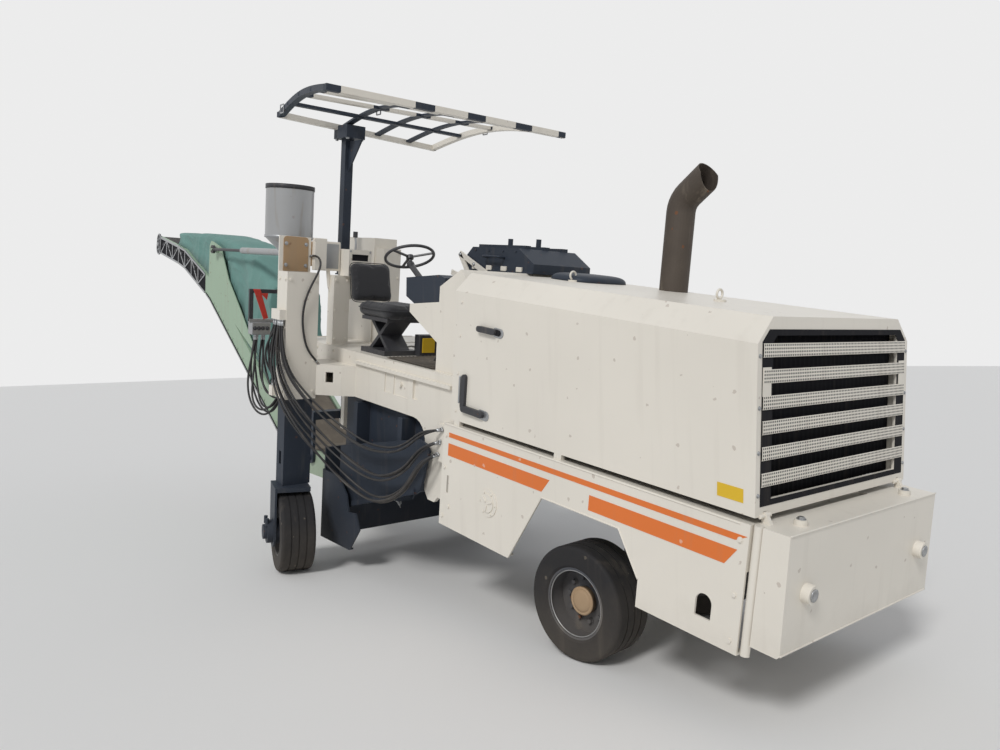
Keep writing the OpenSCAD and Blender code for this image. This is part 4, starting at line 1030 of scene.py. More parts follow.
@dataclass
class Seat:
    """Driver's seat: a cushion and a back, each a crowned pad swollen by simulated air.

    Attributes:
        middle: y of the seat's middle.
        across: half of a pad's width.
        voxel: size of the mesh that the simulation works on.
        swell: how far a point may move while the pad fills, in metres.
        pressure: force of the air in the pad.
        stiffness: how hard the cloth is to stretch.
        frames: how long the cloth is simulated.
        grid: how many points a pad has along its latitude and its longitude.
        powers: exponents that square off a pad's rim, its outline and its crown, where 1 is round.
        pull: share by which the sides pull in between the corners.
        hollow: depth and half width of the hollow in the upper face, as shares of half a pad's own.
    """

    middle: float = -0.40
    across: float = 0.198
    voxel: float = 0.006
    swell: float = 0.012
    pressure: float = 4.0
    stiffness: float = 12.0
    frames: int = 20
    grid: tuple = (40, 80)
    powers: tuple = (0.3, 0.34, 0.55)
    pull: float = 0.035
    hollow: tuple = (0.30, 0.55)

    def shell(self, centre: tuple, along: tuple, length: float, depth: float) -> Array:
        """Points of a squared-off pad.

        Args:
            centre: its middle as x and z in the body frame.
            along: direction of its length, as x and z.
            length: its length.
            depth: its thickness.

        Returns:
            A grid of points in the body frame. Each is a superellipsoid's point: length, width and thickness
            times signed powers of the cosines and sines of latitude u and longitude v. The sides pull in
            between the corners by a share of the other coordinate's distance from its corner.
        """
        u = np.linspace(-math.pi / 2, math.pi / 2, self.grid[0])[:, None]
        v = np.linspace(-math.pi, math.pi, self.grid[1], endpoint=False)[None, :]

        def power(value: Array, exponent: float) -> Array:
            """Power of a value that keeps its sign."""
            return np.sign(value) * np.abs(value) ** exponent

        rim, outline, crown = self.powers
        a = power(np.cos(u), rim) * power(np.cos(v), outline)
        b = power(np.cos(u), rim) * power(np.sin(v), outline)
        c = power(np.sin(u), crown) * np.ones_like(v)
        deep, wide = self.hollow
        bolster = 1 - deep * np.exp(-((b / wide) ** 2)) * (c > 0)
        x = a * (1 - self.pull * (1 - b**2)) * length / 2
        y = b * (1 - self.pull * (1 - a**2)) * self.across
        z = c * bolster * depth / 2
        return points_of(
            centre[0] + x * along[0] - z * along[1], self.middle + y, centre[1] + x * along[1] + z * along[0]
        )

    def inflate(self, piece: bpy.types.Object) -> None:
        """Fills a pad with air.

        Args:
            piece: the pad. It is remeshed evenly, simulated as cloth under pressure, and no point then
                keeps more than the swell of its way.
        """
        modifier = piece.modifiers.new("even", "REMESH")
        modifier.mode, modifier.voxel_size = "VOXEL", self.voxel
        apply_modifier(piece, "even")
        start = vertices_of(piece)
        cloth = piece.modifiers.new("air", "CLOTH").settings
        cloth.use_pressure, cloth.uniform_pressure_force = True, self.pressure
        cloth.effector_weights.gravity = 0.0
        cloth.tension_stiffness = cloth.compression_stiffness = self.stiffness
        for step in range(1, self.frames + 1):
            bpy.context.scene.frame_set(step)
        apply_modifier(piece, "air")
        move = vertices_of(piece) - start
        reach = np.linalg.norm(move, axis=1)
        move *= np.minimum(1.0, self.swell / np.maximum(reach, 1e-9))[:, None]
        piece.data.vertices.foreach_set("co", (start + move).ravel())
        bpy.context.scene.frame_set(1)
        piece.data.update()

    def welt(self, name: str, points: Array) -> bpy.types.Object:
        """Adds the sewn cord round a pad's widest line.

        Args:
            name: the piece's name.
            points: the pad's grid of points.

        Returns:
            The piece: rings of eight points round that closed line.
        """
        ring = from_body(points[self.grid[0] // 2])
        path = np.vstack([ring, ring[:1]])
        rings = rings_about(path, unit(np.gradient(path, axis=0)), (0.5, 0.9, 0.0), 0.0035, 8)[:-1]
        faces = grid_faces(len(ring), 8, wrap_rows=True, wrap_columns=True)
        return with_outward_faces(mesh_object(name, rings, faces, CLOTH))

    def build(self) -> None:
        """Adds both pads with their welts in place of the CAD seat."""
        pads = {
            "seat_cushion": ((-2.58, 1.457), (1.0, 0.0), 0.54, 0.108, 0.7),
            "seat_back": ((-2.943, 1.66), (-0.2, 0.98), 0.345, 0.085, 0.6),
        }
        for name, (centre, along, length, depth, fill) in pads.items():
            points = self.shell(centre, along, length, depth)
            faces = grid_faces(*self.grid, wrap_columns=True)
            piece = with_outward_faces(mesh_object(name, from_body(points), faces, CLOTH))
            self.inflate(piece)
            piece.data.polygons.foreach_set("use_smooth", [True] * len(piece.data.polygons))
            seated(piece, "chassis", "seat" if name == "seat_cushion" else None)
            seated(self.welt(f"{name}_welt", points), "chassis")


def vertices_of(piece: bpy.types.Object) -> Array:
    """Reads a piece's vertices.

    Args:
        piece: the piece.

    Returns:
        Their places, one row each.
    """
    flat = np.empty(len(piece.data.vertices) * 3)
    piece.data.vertices.foreach_get("co", flat)
    return flat.reshape(-1, 3)


def apply_modifier(piece: bpy.types.Object, name: str) -> None:
    """Applies one modifier of a piece.

    Args:
        piece: the piece.
        name: the modifier's name.
    """
    for other in bpy.context.selected_objects:
        other.select_set(False)
    piece.select_set(True)
    bpy.context.view_layer.objects.active = piece
    bpy.ops.object.modifier_apply(modifier=name)


@dataclass
class BeltCover:
    """Coated fabric over the bend of the boom, stretched over bows and wrinkled between them.

    Attributes:
        half: half of the width over its side walls, in metres.
        ridge: the line of its top in the body frame, as x and z.
        seat_line: the line of the boom's top edge under it, as x and z.
        bow: distance between the bows that carry it.
        first_bow: x of the first bow.
        sag: how far it sinks between two bows.
        folds: depth of its long, its crossing and its fine folds.
        power: exponent of a rib's superellipse.
        inset: how far all of it lies inside its outline.
        thread: thickness of the cloth.
    """

    half: float = 0.334
    ridge: tuple = (
        (-8.455, 1.905), (-8.450, 2.062), (-7.26, 2.060), (-6.58, 1.990), (-6.34, 1.912),
        (-5.81, 1.820), (-5.29, 1.512), (-5.195, 0.50),
    )
    seat_line: tuple = ((-8.47, 1.886), (-8.10, 1.834), (-7.05, 1.474), (-5.18, 0.400))
    bow: float = 0.62
    first_bow: float = -5.2
    sag: float = 0.022
    folds: tuple = (0.017, 0.013, 0.003)
    power: float = 7.0
    inset: float = 0.004
    thread: float = 0.0015

    def surface(self) -> Array:
        """Points of the cloth.

        Returns:
            A grid of ribs by points. A rib at x is a superellipse over the boom: its half
            width is the cover's, its height is the ridge's less the boom's. Between bows it sinks by a
            cosine, and folds are sums of sines of slanted and bent coordinates, all towards the inside.
        """
        ridge, seat_line = np.array(self.ridge), np.array(self.seat_line)
        step = steps_along(ridge)
        s = np.linspace(0, step[-1], 230)
        x = np.interp(s, step, ridge[:, 0])
        top = np.interp(s, step, ridge[:, 1])
        foot = np.interp(x, seat_line[:, 0], seat_line[:, 1])
        angle = np.linspace(-1, 1, 141) * math.pi / 2
        wide = np.sign(np.sin(angle)) * np.abs(np.sin(angle)) ** (2 / self.power)
        tall = np.abs(np.cos(angle)) ** (2 / self.power)
        height = (top - foot)[:, None]
        y = self.half * wide[None, :] * np.ones_like(height)
        z = foot[:, None] + height * tall[None, :]
        xs = x[:, None] * np.ones_like(angle)[None, :]
        sag = self.sag * (0.5 - 0.5 * np.cos(2 * math.pi * (xs - self.first_bow) / self.bow))
        long, crossing, fine = self.folds
        slack = np.sin(math.pi * np.clip((z - foot[:, None]) / np.maximum(height, 1e-3), 0, 1)) ** 0.5
        u = xs + 0.35 * z + 0.12 * np.sin(4.1 * z + 1.7 * y)
        v = z - 0.42 * xs + 0.10 * np.sin(5.3 * xs)
        folds = np.abs(np.sin(9.1 * u + 1.3 * np.sin(5.7 * v))) ** 0.6 * long
        folds += np.abs(np.sin(13.7 * v + 1.9 * np.sin(7.9 * u + 0.6))) ** 0.5 * crossing
        folds += np.abs(np.sin(31.0 * u + 17.0 * v + 2.0 * np.sin(9.0 * v))) * fine
        inward = self.inset + sag * (0.35 + 0.65 * slack) + folds * (0.25 + 0.75 * slack)
        side = np.clip(np.abs(wide), 0, 1)[None, :] ** 6
        y = y - np.sign(y) * inward * side
        z = z - inward * tall[None, :] ** 6 * (height > 0.05)
        return np.stack([xs, y, z], axis=-1)

    def build(self) -> None:
        """Adds the cloth in place of the CAD cover."""
        points = self.surface()
        rows, columns = points.shape[:2]
        piece = mesh_object("cover_sheet", from_body(points), grid_faces(rows, columns), COVER)
        thickened(piece, self.thread)
        seated(piece, "boom", "belt_cover")


@dataclass
class Hoses:
    """Hydraulic hoses from the right column's manifold: each CAD route carries a bundle of three strands.

    Attributes:
        y: distance of the manifold's outlets from the machine's middle, in millimetres.
        gland: distance of the platform's gland block from the machine's middle, in millimetres.
        radius: radius of a strand.
        close: distance of a strand from the route at the ends, where the bundle is clamped.
        loose: how much further the strands spread midway.
        turns: how often they wind round each other.
        passes: how often the bends are eased.
    """

    y: float = 1212.0
    gland: float = 700.0
    radius: float = 0.0085
    close: float = 0.0099
    loose: float = 0.020
    turns: float = 0.6
    passes: int = 10

    def routes(self) -> dict[str, list]:
        """Points of each route in millimetres, as the CAD source gives them."""
        y, gland = self.y, self.gland
        return {
            "hose_high": [
                [-2890, -y, 1340], [-2890, -y, 1315], [-2890, -y, 1290], [-2860, -y - 8, 1140],
                [-2790, -y + 20, 940], [-2640, -1090, 740], [-2440, -950, 560], [-2150, -840, 450],
                [-1800, -800, 490], [-1560, -806, 612], [-1490, -806, 668], [-1430, -805, 706],
                [-1393, -797, 722], [-1366, -777, 730], [-1350, -748, 730], [-1345, -718, 730],
                [-1345, -gland, 730],
            ],
            "hose_middle": [
                [-2930, -y, 1340], [-2930, -y, 1315], [-2930, -y, 1290], [-2920, -y - 22, 1120],
                [-2850, -y - 12, 890], [-2680, -1150, 660], [-2460, -990, 420], [-2200, -870, 270],
                [-1900, -830, 260], [-1620, -810, 400], [-1540, -808, 490], [-1475, -806, 560],
                [-1430, -803, 602], [-1398, -791, 626], [-1376, -768, 638], [-1366, -738, 640],
                [-1365, -716, 640], [-1365, -gland, 640],
            ],
            "hose_low": [
                [-2970, -y, 1340], [-2970, -y, 1315], [-2970, -y, 1280], [-2980, -y - 30, 1080],
                [-2890, -y - 38, 830], [-2700, -1200, 590], [-2470, -1020, 300], [-2250, -890, 120],
                [-1950, -830, 70], [-1650, -810, 220], [-1560, -808, 330], [-1485, -806, 430],
                [-1436, -803, 495], [-1407, -793, 529], [-1388, -770, 546], [-1381, -740, 550],
                [-1380, -718, 550], [-1380, -gland, 550],
            ],
            "hose_drop": [
                [-3010, -y, 1340], [-3010, -y, 1315], [-3010, -y, 1280], [-3048, -y - 36, 1120],
                [-3048, -y - 36, 1000], [-3020, -y - 10, 905], [-3010, -y, 860], [-3010, -y, 830],
                [-3010, -y, 800],
            ],
        }

    def bundles(self) -> dict[str, tuple[list, int, float]]:
        """Points in millimetres, number of strands and loose share of each bundle, the CAD's first."""
        return {
            **{
                node: (route, 3, 0.35 if node == "hose_drop" else 1.0)
                for node, route in self.routes().items()
            },
            "valve_bundle": ([
                [-3500, -1170, 1160], [-3500, -1171, 1130], [-3502, -1178, 1080], [-3500, -1192, 960],
                [-3480, -1205, 830], [-3440, -1212, 700], [-3380, -1210, 600], [-3300, -1195, 545],
                [-3215, -1170, 545], [-3150, -1145, 600], [-3110, -1120, 680], [-3085, -1105, 735],
                [-3062, -1100, 762], [-3046, -1100, 765], [-3035, -1100, 765],
            ], 4, 1.6),
            "valve_bundle_inner": ([
                [-3500, -1110, 1160], [-3500, -1110, 1130], [-3500, -1112, 1080], [-3490, -1118, 980],
                [-3462, -1122, 860], [-3415, -1120, 760], [-3345, -1110, 690], [-3270, -1095, 668],
                [-3200, -1075, 690], [-3140, -1055, 750], [-3095, -1042, 800], [-3065, -1037, 822],
                [-3048, -1036, 826], [-3035, -1036, 826],
            ], 3, 1.2),
            "column_cable": ([
                [-3035, -918.5, 1850], [-3020, -918.5, 1851], [-2975, -918.5, 1856], [-2925, -917, 1854],
                [-2880, -913, 1842], [-2846, -914, 1808], [-2828, -932, 1752], [-2824, -970, 1680],
                [-2832, -1012, 1590], [-2842, -1045, 1480], [-2850, -1055, 1360], [-2854, -1042, 1240],
                [-2852, -1012, 1125], [-2848, -965, 1052], [-2852, -925, 1014], [-2862, -900, 995],
                [-2866, -895, 980],
            ], 1, 0.0),
        }

    def strand(self, route: list, phase: float, share: float) -> Array:
        """Points of one strand.

        Args:
            route: the route's points in millimetres.
            phase: where round the route the strand starts, in radians.
            share: how much of the loose spread this route takes; at 0 the strand is alone, on the route.

        Returns:
            The route's curve, moved off it on a slowly turning circle whose radius is the clamped
            distance plus the loose distance times the squared sine of the way along. Each point then
            moves to the weighted mean of itself and its neighbours a few times, which opens the bends.
        """
        curve = evenly(smooth_path(np.array(route) * MM, 8 * len(route)), 72)
        s = np.linspace(0, 1, len(curve))
        tangent = unit(np.gradient(curve, axis=0))
        u = unit(np.cross(tangent, np.array([0.35, 0.93, 0.1])))
        v = np.cross(tangent, u)
        spread = (self.close if share else 0.0) + share * self.loose * np.sin(math.pi * s) ** 2
        angle = (phase + 2 * math.pi * self.turns * s)[:, None]
        wound = curve + spread[:, None] * (np.cos(angle) * u + np.sin(angle) * v)
        for _ in range(self.passes):
            wound[1:-1] = 0.25 * wound[:-2] + 0.5 * wound[1:-1] + 0.25 * wound[2:]
        return from_body(wound)

    @staticmethod
    def ferrule(name: str, path: Array) -> None:
        """Adds the crimped sleeve and nut on one end of a strand, as rings of changing radius.

        Args:
            name: the piece's name.
            path: the strand's points, starting at that end.
        """
        way = unit(path[2] - path[0])
        reach = np.array([0.0, 0.001, 0.012, 0.013, 0.018, 0.019, 0.044, 0.047])
        radius = np.array([0.0095, 0.0105, 0.0105, 0.0090, 0.0090, 0.0099, 0.0099, 0.0088])
        line = path[0] + reach[:, None] * way
        rings = rings_about(line, way, (0.35, 0.93, 0.1), radius[:, None, None], 16)
        piece = with_outward_faces(mesh_object(name, rings, capped_faces(len(reach), 16), STEEL))
        seated(piece, "chassis")

    def build(self) -> None:
        """Sweeps the strands in place of the CAD hoses and crimps each."""
        for node, (route, count, share) in self.bundles().items():
            for index in range(count):
                path = self.strand(route, 2 * math.pi * index / count + 0.4 * len(node), share)
                name = f"{node}_strand_{index + 1}"
                piece = tube(name, path, self.radius, RUBBER)
                seated(piece, "chassis", node if node in self.routes() else None)
                self.ferrule(f"{name}_sleeve_top", path)
                self.ferrule(f"{name}_sleeve_foot", path[::-1])


@dataclass
class Grille:
    """Front grille: a black mouth with six folded slats of perforated sheet across it.

    Attributes:
        foot: x and z of the hood's front edge.
        lean: how far the front leans back for each metre of height.
        half: half of the width of the slats.
        tops: height of each slat's top edge.
        high: height of a slat.
        mouth: half width, lowest and highest point of the opening in the hood.
        deep: how far the core lies behind the hood's front.
        fin: distance between two fins of the core.
        lap: how far the core reaches past the mouth.
    """

    foot: tuple = (1.111, 0.834)
    lean: float = 0.1055
    half: float = 0.690
    tops: tuple = (1.606, 1.490, 1.373, 1.262, 1.146, 1.028)
    high: float = 0.062
    mouth: tuple = (0.610, 0.905, 1.640)
    deep: float = 0.055
    fin: float = 0.012
    lap: float = 0.018

    def face(self, y: Array, z: Array, proud: Array) -> Array:
        """Points before the hood's leaning front: x is the foot's less the lean times the rise."""
        return points_of(self.foot[0] - self.lean * (z - self.foot[1]) + proud, y, z)

    def slat(self, index: int, top: float) -> None:
        """Adds one slat: its folded profile carried across the hood, with a UV map in metres.

        Args:
            index: its place from the top, from 0.
            top: height of its top edge.
        """
        out = np.array([-0.004, 0.004, 0.0065, 0.0065, 0.004, -0.004])
        rise = np.array([0.003, 0.0, 0.0025, self.high - 0.0025, self.high, self.high - 0.003])
        y = np.linspace(-self.half, self.half, 24)
        points = self.face(y[None, :], top - self.high + rise[:, None], out[:, None])
        faces = grid_faces(6, 24)
        piece = mesh_object(f"slat_{index + 1}", from_body(points), faces, PerforatedSteel(), smooth=False)
        sheet = piece.data.uv_layers.new(name="sheet")
        corner = np.zeros(len(piece.data.loops), dtype=np.int32)
        piece.data.loops.foreach_get("vertex_index", corner)
        flat = np.stack(np.broadcast_arrays(y[None, :], rise[:, None]), axis=-1).reshape(-1, 2)
        sheet.data.foreach_set("uv", flat[corner].astype(np.float32).ravel())
        seated(thickened(piece, 0.002), "hood", "grille")

    def surround(self) -> None:
        """Adds the black plate round the mouth, between an outer and an inner outline of as many points."""
        wide, low, high = self.mouth
        inner = [(-wide, low), (wide, low), (wide, high - 0.03), (wide - 0.03, high)]
        inner += [(-wide + 0.03, high), (-wide, high - 0.03)]
        outer = [(-0.696, 0.878), (0.696, 0.878), (0.696, 1.612)]
        outer += [(0.640, 1.668), (-0.640, 1.668), (-0.696, 1.612)]
        loops, count = [np.array(outer), np.array(inner)], len(inner)
        layers = [self.face(loop[:, 0], loop[:, 1], level) for level in (0.0003, 0.0016) for loop in loops]
        faces = []
        for k in range(count):
            m = (k + 1) % count
            a, b, c, d = (level * count + k for level in range(4))
            e, f, g, h = (level * count + m for level in range(4))
            faces += [[a, e, f, b], [c, d, h, g], [a, c, g, e], [b, f, h, d]]
        piece = mesh_object("grille_surround", from_body(np.vstack(layers)), faces, BLACK, smooth=False)
        dress_piece(piece, "hood")

    def core(self) -> None:
        """Adds the dark finned core behind the mouth."""
        wide, low, high = self.mouth
        y = np.linspace(-wide - self.lap, wide + self.lap, 241)
        z = np.linspace(low - self.lap, high + self.lap, 3)
        fins = -self.deep + 0.004 * np.sin(2 * math.pi * y / self.fin)
        points = self.face(y[None, :], z[:, None], fins[None, :])
        piece = mesh_object("grille_core", from_body(points), grid_faces(3, 241), BLACK)
        seated(thickened(piece, 0.003), "hood")

    def build(self) -> None:
        """Adds the surround, the core, the slats, the side tabs and the screws."""
        self.surround()
        self.core()
        for index, top in enumerate(self.tops):
            self.slat(index, top)
        for side in Side:
            y, z = side.value * np.array([0.692, 0.628]), np.array([1.372, 1.500])
            grid = self.face(y[:, None], z[None, :], np.array([[0.0035]]))
            name = f"grille_tab_{side.label}"
            tab = mesh_object(name, from_body(grid), grid_faces(2, 2), CREAM, smooth=False)
            seated(thickened(tab, 0.004, 0.0), "hood")
            spots = self.face(np.full(4, side.value * 0.712), np.array([0.93, 1.12, 1.32, 1.55]), 0.0)
            bolts(f"grille_screws_{side.label}", spots, (0.99, 0, 0.1), STEEL, "hood", 0.016, 0.006)


@dataclass
class HoodTrim:
    """Handles, latches and the intake bulge of the hood.

    Attributes:
        y: half of the width of the hood.
        bulge: x and y of the bulge's middle.
        bulge_half: half of its length and of its width.
        bulge_high: its height.
        roof: height of the roof at x = -1, and how far it falls for each metre forward.
    """

    y: float = HOOD_HALF
    bulge: tuple = (-0.990, 0.240)
    bulge_half: tuple = (0.200, 0.260)
    bulge_high: float = 0.052
    roof: tuple = (1.8035, 0.0378)

    def fitting(self, name: str, side: Side, runs: list, high: tuple[float, float], paint: Paint) -> None:
        """Adds a flat fitting on one side of the hood.

        Args:
            name: what it is.
            side: the side of the hood.
            runs: start and end of its middle line as x and z, and its radius round them.
            high: how far its back and its face stand off the hood.
            paint: its finish.
        """
        span = side.span(self.y + high[0], self.y + high[1])
        prism(f"{name}_{side.label}", stadium(*runs), Axis.Y, *span, paint, "hood", Slot.PLASTIC, 0.003)

    def build(self) -> None:
        """Adds two lever handles and a latch rod on each side, and the bulge on the roof."""
        for side in Side:
            for name, *runs, high, paint in (
                ("handle_plate", (-0.800, 1.461), (-0.752, 1.457), 0.030, (0.0, 0.005), STEEL),
                ("handle_cup", (-0.800, 1.461), (-0.765, 1.458), 0.019, (0.004, 0.012), BLACK),
                ("handle_lever", (-0.950, 1.468), (-0.800, 1.462), 0.019, (0.0, 0.029), DARK),
                ("latch_plate", (-0.900, 0.925), (-0.845, 0.922), 0.032, (0.0, 0.005), STEEL),
                ("latch_lever", (-1.070, 0.931), (-0.880, 0.925), 0.0215, (0.0, 0.027), DARK),
                ("latch_channel", (-1.080, 0.945), (-1.080, 1.135), 0.0215, (0.0, 0.023), DARK),
            ):
                self.fitting(name, side, runs, high, paint)
            y = side.value * (self.y + 0.012)
            path = [(-1.122, y, 0.960), (-1.124, y, 1.05), (-1.126, y, 1.140)]
            rod(f"latch_rod_{side.label}", path, 0.008, STEEL, "hood")
            spots = [(-1.17, side.value * self.y, z) for z in (0.90, 1.15, 1.40, 1.62)]
            bolts(f"hood_screws_{side.label}", spots, (0, side.value, 0), CREAM, "hood", 0.018, 0.006)
        t, a = np.linspace(0, math.pi / 2, 14)[:, None], turn(72)[None, :]
        c, w = np.cos(a), np.sin(a)
        x = self.bulge[0] + self.bulge_half[0] * np.cos(t) ** 0.35 * np.sign(c) * np.abs(c) ** 0.6
        y = self.bulge[1] + self.bulge_half[1] * np.cos(t) ** 0.35 * np.sign(w) * np.abs(w) ** 0.6
        z = self.roof[0] - self.roof[1] * (x + 1.0) + self.bulge_high * np.sin(t) ** 0.8
        faces = grid_faces(14, 72, wrap_columns=True) + [list(range(72))]
        bulge = mesh_object("intake_bulge", from_body(points_of(x, y, z)), faces, SLATE)
        dress_piece(bulge, "hood")


@dataclass
class CanopyTrim:
    """Cream pieces on the canopy frame's tops as its lit paint, over the frame's dark slate, which is
    painted shade.

    Attributes:
        corners: rear right, front right, front left and rear left corner of the frame.
        rise: how far the right and the left rail arch up.
    """

    corners: tuple = ((-3.5, -1.0, 3.0), (-2.15, -1.25, 3.0), (-2.06, 0.86, 3.0), (-3.8, 0.73, 3.0))
    rise: tuple = (0.060, 0.120)

    def along(self, t: Array, s: Array) -> Array:
        """Finds points of the frame.

        Args:
            t: share of the way from the right rail to the left.
            s: share of the way from the rear to the front.

        Returns:
            Points between the four corners, raised by the arch's rise times the sine of s times pi.
        """
        t, s = (np.asarray(share, dtype=float)[..., None] for share in (t, s))
        a, b, c, d = (np.array(corner) for corner in self.corners)
        rear, front = a + (d - a) * t, b + (c - b) * t
        high = (self.rise[0] + (self.rise[1] - self.rise[0]) * t) * np.sin(math.pi * s)
        return rear + (front - rear) * s + high * np.array([0.0, 0.0, 1.0])

    def build(self) -> None:
        """Adds the cream lit tops on the rear rail, the left rail and between the ribs on the cross members.
        """
        # These cream pieces paint the frame's lit tops; the slate under them is painted shade of the
        # undersides.
        up, across = (0, 0, 1), np.array([0.0, 1.0])
        left = self.along(np.ones(25), np.linspace(-0.008, 1.008, 25))
        beams("lit_top_left", polyline_runs(left), 0.053, 0.047, up, CREAM, bevel=0.0)
        beams("lit_top_rear", [self.along(across, np.zeros(2))], 0.053, 0.047, up, CREAM)
        stretches = ((0.04, 0.32), (0.40, 0.54), (0.62, 0.76), (0.84, 0.975))
        members = (0.5, 0.063, 0.027), (0.75, 0.063, 0.027), (1.0, 0.053, 0.047)
        for index, (place, wide, thick) in enumerate(members):
            start, end = self.along(across, np.full(2, place))
            runs = [[start + (end - start) * e for e in pair] for pair in stretches]
            beams(f"strap_cross_{index + 1}", runs, wide, thick, up, CREAM)
        head = [(x, y, 2.9) for x in (-3.62, -3.42) for y in (-0.42, -0.28)]
        bolts("canopy_bolts", head, (0, 0, -1), STEEL, across=0.03, high=0.014)
        for index, (t, place) in enumerate(((0.0, 0.12), (1.0, 0.42), (0.36, 0.44))):
            angle = np.linspace(0, 2 * math.pi, 5) + math.pi / 4
            middle = self.along(np.array(t), np.array(place))
            ring = middle + np.stack([0.045 * np.cos(angle), 0 * angle, 0.045 * np.sin(angle)], axis=-1)
            ring[:, 1] += -0.034 if t == 0.0 else 0.036
            beams(f"canopy_clasp_{index + 1}", polyline_runs(ring), 0.010, 0.008, (0, 1, 0), STEEL)


@dataclass
class BoomTruss:
    """Lattice, rails and head plates on both sides of the boom's outer end.

    Attributes:
        line: the boom's centre line as x and z.
        half: half of the boom's depth.
        y: half of the boom's width.
        panels: how many panels the lattice has.
    """

    line: tuple = ((-3.30, -0.12), (-4.35, -0.20), (-7.05, 1.35), (-8.10, 1.71), (-9.25, 1.87))
    half: float = 0.120
    y: float = 0.350
    panels: int = 7

    def at(self, distance: float, x: Array) -> Array:
        """Finds points beside the boom's centre line.

        Args:
            distance: how far the line is moved, upwards where it is above 0.
            x: places along the machine.

        Returns:
            Points of x and z on the moved line. Each joint moves along the mean of its two normals, by the
            distance over the cosine between that mean and a normal.
        """
        line = np.array(self.line)
        way = unit(np.diff(line, axis=0))
        normal = np.stack([way[:, 1], -way[:, 0]], axis=-1)
        joint = unit(np.vstack([normal[:1], normal[:-1] + normal[1:], normal[-1:]]))
        fit = np.concatenate([[1.0], np.sum(joint[1:-1] * normal[:-1], axis=1), [1.0]])
        moved = (line + distance * joint / fit[:, None])[::-1]
        return np.stack([x, np.interp(x, moved[:, 0], moved[:, 1])], axis=-1)

    def lift(self, flat: Array, out: float, side: Side) -> Array:
        """Stands points of x and z on one side of the boom, at a distance from it."""
        return np.insert(np.asarray(flat, dtype=float), 1, side.value * (self.y + out), axis=-1)

    def plate(self, name: str, outline: Array, proud: float, paint: Paint, side: Side, bevel: float) -> None:
        """Adds a flat plate on one side of the boom."""
        span = side.span(self.y + (0.0003 if bevel == 0 else 0.0005), self.y + proud)
        prism(f"{name}_{side.label}", outline, Axis.Y, *span, paint, "boom", Slot.PLASTIC, bevel)

    @staticmethod
    def bars(
        name: str, runs: Array, wide: float, thick: float, side: Side, paint: Paint = STEEL,
        bevel: float = 0.0015,
    ) -> None:
        """Adds bars on one side of the boom."""
        beams(f"{name}_{side.label}", runs, wide, thick, (0, 1, 0), paint, "boom", bevel)

    def lattice(self, side: Side) -> None:
        """Adds the dark web, silver rails, posts and diagonals, and the idlers' ends.

        Args:
            side: the side of the boom.
        """
        x = np.linspace(-9.140, -7.230, self.panels + 1)
        top, low = self.at(self.half - 0.012, x), self.at(-self.half + 0.012, x)
        self.plate("truss_web", np.vstack([top, low[::-1]]), 0.002, BLACK, side, 0.0)
        for label, line in (("top", top), ("low", low)):
            rail = polyline_runs(self.lift(line, 0.007, side))
            self.bars(f"truss_rail_{label}", rail, 0.026, 0.012, side)
        posts = np.stack([self.lift(top, 0.005, side), self.lift(low, 0.005, side)], axis=1)
        self.bars("truss_posts", posts[1:-1], 0.020, 0.007, side)
        a, b = self.lift(low, 0.006, side), self.lift(top, 0.006, side)
        swing = [[a[k], b[k + 1]] for k in range(0, self.panels, 2)]
        swing += [[b[k], a[k + 1]] for k in range(1, self.panels, 2)]
        self.bars("truss_braces", swing, 0.018, 0.008, side)
        hubs = self.lift(self.at(0.03, 0.5 * (x[:-1] + x[1:])), 0.002, side)
        bolts(f"idler_ends_{side.label}", hubs, (0, side.value, 0), DARK, "boom", 0.052, 0.012)

    def head(self, side: Side) -> None:
        """Adds the head plate with its rim and bolts.

        Args:
            side: the side of the boom.
        """
        ends = (-9.238, 1.815), (-9.214, 1.925)
        self.plate("head_plate", stadium(*ends, 0.098, 14), 0.010, DARK, side, 0.003)
        ring = stadium(*ends, 0.086, 14)
        loop = self.lift(np.vstack([ring, ring[:1]]), 0.0125, side)
        self.bars("head_rim", polyline_runs(loop), 0.016, 0.006, side, STEEL, 0.0)
        spots = self.lift([(-9.26, 1.79), (-9.19, 1.95), (-9.21, 1.80), (-9.25, 1.93)], 0.010, side)
        bolts(f"head_bolts_{side.label}", spots, (0, side.value, 0), STEEL, "boom")

    def build(self) -> None:
        """Adds all of it on each side, with the rubber skirt, its clamp and the bolts on the boom's foot."""
        for side in Side:
            self.lattice(side)
            self.head(side)
            foot = self.at(-self.half + 0.010, np.array([-7.20, -7.05, -6.2, -5.3, -4.42]))
            skirt, clamp = (polyline_runs(self.lift(foot, out, side)) for out in (0.004, 0.009))
            self.bars("boom_skirt", skirt, 0.030, 0.006, side, BLACK)
            self.bars("boom_clamp", clamp, 0.012, 0.004, side)
            spots = self.lift(self.at(-self.half + 0.050, np.linspace(-6.9, -4.6, 15)), 0.0, side)
            bolts(f"boom_bolts_{side.label}", spots, (0, side.value, 0), GREEN, "boom", 0.022, 0.008)


